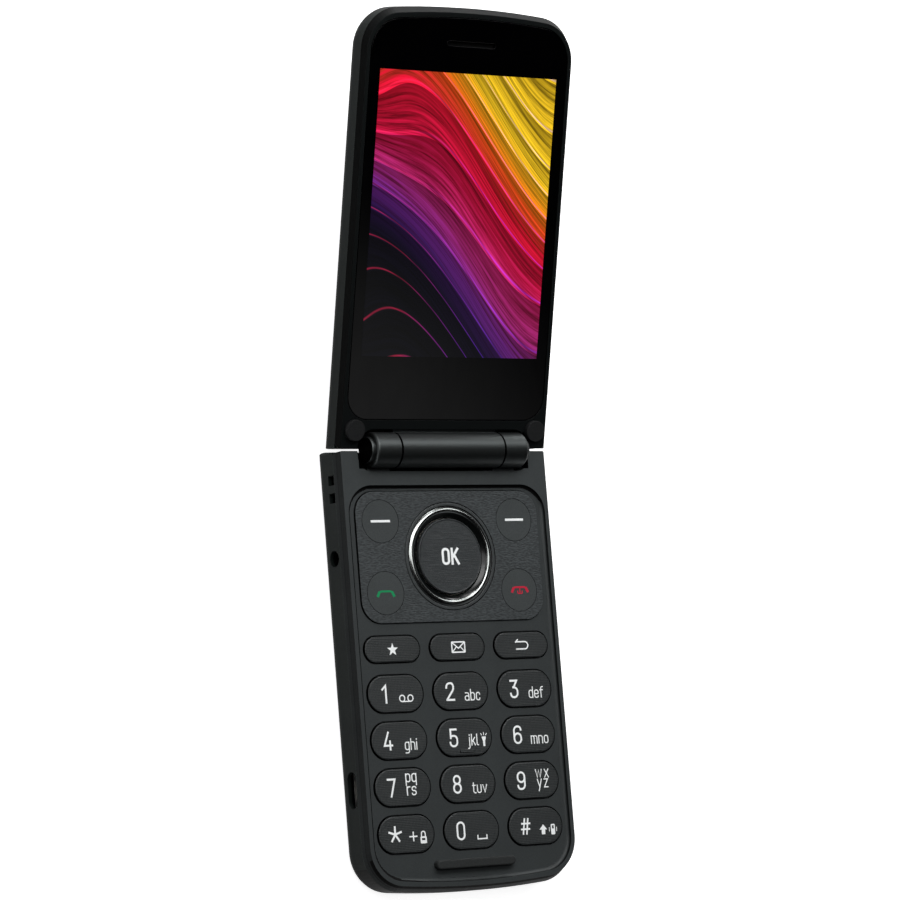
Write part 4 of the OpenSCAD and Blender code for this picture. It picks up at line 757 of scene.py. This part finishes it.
# ------------------------------------------------------------------ screen picture
# The lit display: rolling silk waves, glowing high on the right and cooling
# through red and violet to black. It lies right on the glass over the window.
picture_w, picture_h, picture_near = 0.04572, 0.06096, 0.0201
picture_low, picture_top = -0.00056, -0.00053


def lid_point(x, y, z):
    """A point of the lid, given across, along and square to it from the hinge axis, in the row frame."""
    return np.stack((x, hinge_y + y * math.cos(lid_tilt) - z * math.sin(lid_tilt),
                     hinge_z + y * math.sin(lid_tilt) + z * math.cos(lid_tilt)), -1)


def lay_picture(name, columns, rows):
    """A thin plate on the lid: the point (u, v) of its grid lies u widths across and v heights beyond the
    near edge. The same grid lies behind it, and a rim of faces joins the two."""
    u, v = np.meshgrid(np.linspace(-0.5, 0.5, columns + 1), np.linspace(0, 1, rows + 1))
    x, y = u.ravel() * picture_w, picture_near + v.ravel() * picture_h
    corners = np.vstack([lid_point(x, y, np.full(x.shape, z)) for z in (picture_top, picture_low)])
    n, w = len(x), columns + 1
    c, r = np.meshgrid(np.arange(columns), np.arange(rows))
    a = (r * w + c).ravel()
    front = np.stack((a, a + 1, a + w + 1, a + w), 1)
    k, q = np.arange(columns), np.arange(rows) * w
    far, right = rows * w, q + columns
    rim = np.vstack((np.stack((k, k + n, k + 1 + n, k + 1), 1),
                     np.stack((far + k + 1, far + k + 1 + n, far + k + n, far + k), 1),
                     np.stack((q + w, q + w + n, q + n, q), 1),
                     np.stack((right, right + n, right + w + n, right + w), 1)))
    mesh = bpy.data.meshes.new(name)
    mesh.from_pydata(corners.tolist(), [], np.vstack((front, front[:, ::-1] + n, rim)).tolist())
    plate = bpy.data.objects.new(name, mesh)
    bpy.context.scene.collection.objects.link(plate)
    return plate


screen_picture = lay_picture("screen_picture", 24, 32)
silk = bpy.data.materials.new("silk_waves")
silk.use_nodes = True
silk_x, silk_y, _ = parts_of(silk, in_mm(silk, centre=(0, hinge_y, hinge_z), tilt=lid_tilt))
silk_scale = 0.001 / picture_w
silk_u = sum_of(silk, "MULTIPLY", silk_x, silk_scale)
silk_v = sum_of(silk, "MULTIPLY_ADD", silk_y, silk_scale, -0.44)


def swell(level, run, reach, pitch, start):
    """Adds reach times sin(pitch times run plus start) to a level."""
    wave = sum_of(silk, "SINE", sum_of(silk, "MULTIPLY_ADD", run, pitch, start))
    return sum_of(silk, "MULTIPLY_ADD", wave, reach, level)


# the level falls from the upper right corner, and two swells bend its contours
silk_level = sum_of(silk, "MULTIPLY_ADD", silk_u, -0.62, sum_of(silk, "SUBTRACT", 1.22, silk_v))
silk_level = swell(silk_level, silk_u, 0.15, 3.9, 2.6)
silk_level = swell(silk_level, sum_of(silk, "MULTIPLY_ADD", silk_v, 0.8, silk_u), 0.07, 7.0, 2.2)
silk_fold = sum_of(silk, "MULTIPLY_ADD", silk_level, 6.5, sum_of(silk, "MULTIPLY", silk_u, 0.7))
silk_fold = sum_of(silk, "FRACT", silk_fold)
silk_run = join(silk, "ShaderNodeCombineXYZ", {}, X=sum_of(silk, "MULTIPLY", silk_level, 62.0),
                Y=sum_of(silk, "MULTIPLY", silk_u, 1.6))[0]
silk_strands = join(silk, "ShaderNodeTexNoise", {}, Vector=silk_run, Scale=1.0, Detail=5.0, Roughness=0.7)[0]

# the colours from the bright corner to the dark one
silk_ramp = silk.node_tree.nodes.new("ShaderNodeValToRGB")
silk_stops = [(0.00, (1.0, 0.62, 0.02)), (0.10, (1.0, 0.36, 0.01)), (0.20, (0.95, 0.10, 0.01)),
              (0.31, (0.72, 0.008, 0.03)), (0.44, (0.55, 0.006, 0.05)), (0.55, (0.42, 0.02, 0.16)),
              (0.65, (0.17, 0.02, 0.25)), (0.74, (0.03, 0.006, 0.07)), (0.84, (0.004, 0.002, 0.012)),
              (1.00, (0.001, 0.001, 0.003))]
for index, (place, colour) in enumerate(silk_stops):
    stop = silk_ramp.color_ramp.elements[index] if index < 2 else silk_ramp.color_ramp.elements.new(place)
    stop.position, stop.color = place, colour + (1,)
silk_place = sum_of(silk, "MULTIPLY_ADD", silk_level, 0.72, -0.04)
silk_place = sum_of(silk, "MULTIPLY_ADD", silk_strands, 0.22, silk_place)
silk.node_tree.links.new(silk_place, silk_ramp.inputs[0])

# each fold has its shade, its threads and one fine line of light
silk_shade = ramp_of(silk, silk_fold, 0.0, 1.0, 0.35, 1.15)
silk_thread = ramp_of(silk, silk_strands, 0.38, 0.62, 0.28, 1.35)
silk_off = sum_of(silk, "ABSOLUTE", sum_of(silk, "SUBTRACT", silk_fold, 0.93))
silk_line = ramp_of(silk, silk_off, 0.0, 0.035, 1.0, 0.0)
silk_cool = mix_of(silk, ramp_of(silk, silk_u, -0.3, 0.3, 0.0, 1.0),
                   (0.30, 0.01, 0.04, 1), (0.05, 0.02, 0.55, 1))
silk_tint = mix_of(silk, sum_of(silk, "MULTIPLY", silk_line, 0.8), silk_ramp.outputs[0], silk_cool, "ADD")
feed(silk, Base_Color=(0.002, 0.002, 0.002, 1), Roughness=0.08, IOR=glass_ior, Emission_Color=silk_tint,
     Emission_Strength=sum_of(silk, "MULTIPLY", silk_shade, silk_thread))
screen_picture.data.materials.append(silk)
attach(screen_picture, "lid")

# ------------------------------------------------------------------ boards and parts behind the housings
# Two green boards with tinned cans and connectors, the keys' domes under
# their film and mat, and the wrapped battery. Screws and clips hold them.
board_green = mould_plastic("circuit_board", (0.012, 0.075, 0.035), 0.38, 0.5, 0.6, 0.006)
board_tracks = join(board_green, "ShaderNodeTexBrick", {"offset": 0.5}, Vector=in_mm(board_green), Scale=0.9,
                    Mortar_Size=0.06)[1]
coat(board_green, sum_of(board_green, "MULTIPLY", board_tracks, 0.7), (0.03, 0.14, 0.06, 1))
finish_nodes(board_green, "main_board", "lid_board")
finish_nodes(turn_metal("tinned_steel", (0.62, 0.62, 0.60), 0.30, 0.8, (1, 3, 1)),
             "shield_cans", "card_reader", "charge_port", "microphone", "vibration_motor")
finish_nodes(turn_metal("screw_steel", (0.40, 0.41, 0.42), 0.28, 0.3, (1, 1, 4)), "base_screws", "lid_screws")
finish_nodes(turn_metal("carrier_steel", (0.55, 0.56, 0.57), 0.35, 1.0, (1, 6, 1)), "nav_carrier")
finish_nodes(turn_metal("magnet_metal", (0.60, 0.61, 0.63), 0.22, 2.0, (1, 1, 1)), "lid_magnet")
finish_nodes(turn_metal("antenna_metal", (0.72, 0.50, 0.22), 0.30, 0.6, (1, 4, 1)), "antenna")
finish_nodes(mould_plastic("moulding_black", (0.010, 0.010, 0.011), 0.45, 0.4, 0.3, 0.006),
             "battery_connector", "loudspeaker", "camera_module")
# the jack and the earpiece are near black: partly their own dark plastic, partly painted shade in their
# openings
finish_nodes(mould_plastic("moulding_matt_painted_shade", (0.0012, 0.0012, 0.0013), 0.75, 0.08, 0.3, 0.006),
             "headphone_jack", "earpiece")
finish_nodes(mould_plastic("battery_wrap", (0.055, 0.058, 0.062), 0.35, 0.5, 1.5, 0.010), "battery")
finish_nodes(mould_plastic("mat_rubber", (0.22, 0.23, 0.24), 0.65, 0.3, 0.4, 0.008), "keypad_mat")
finish_nodes(mould_plastic("dome_film", (0.55, 0.53, 0.46), 0.32, 0.5, 0.8, 0.004), "dome_sheet")
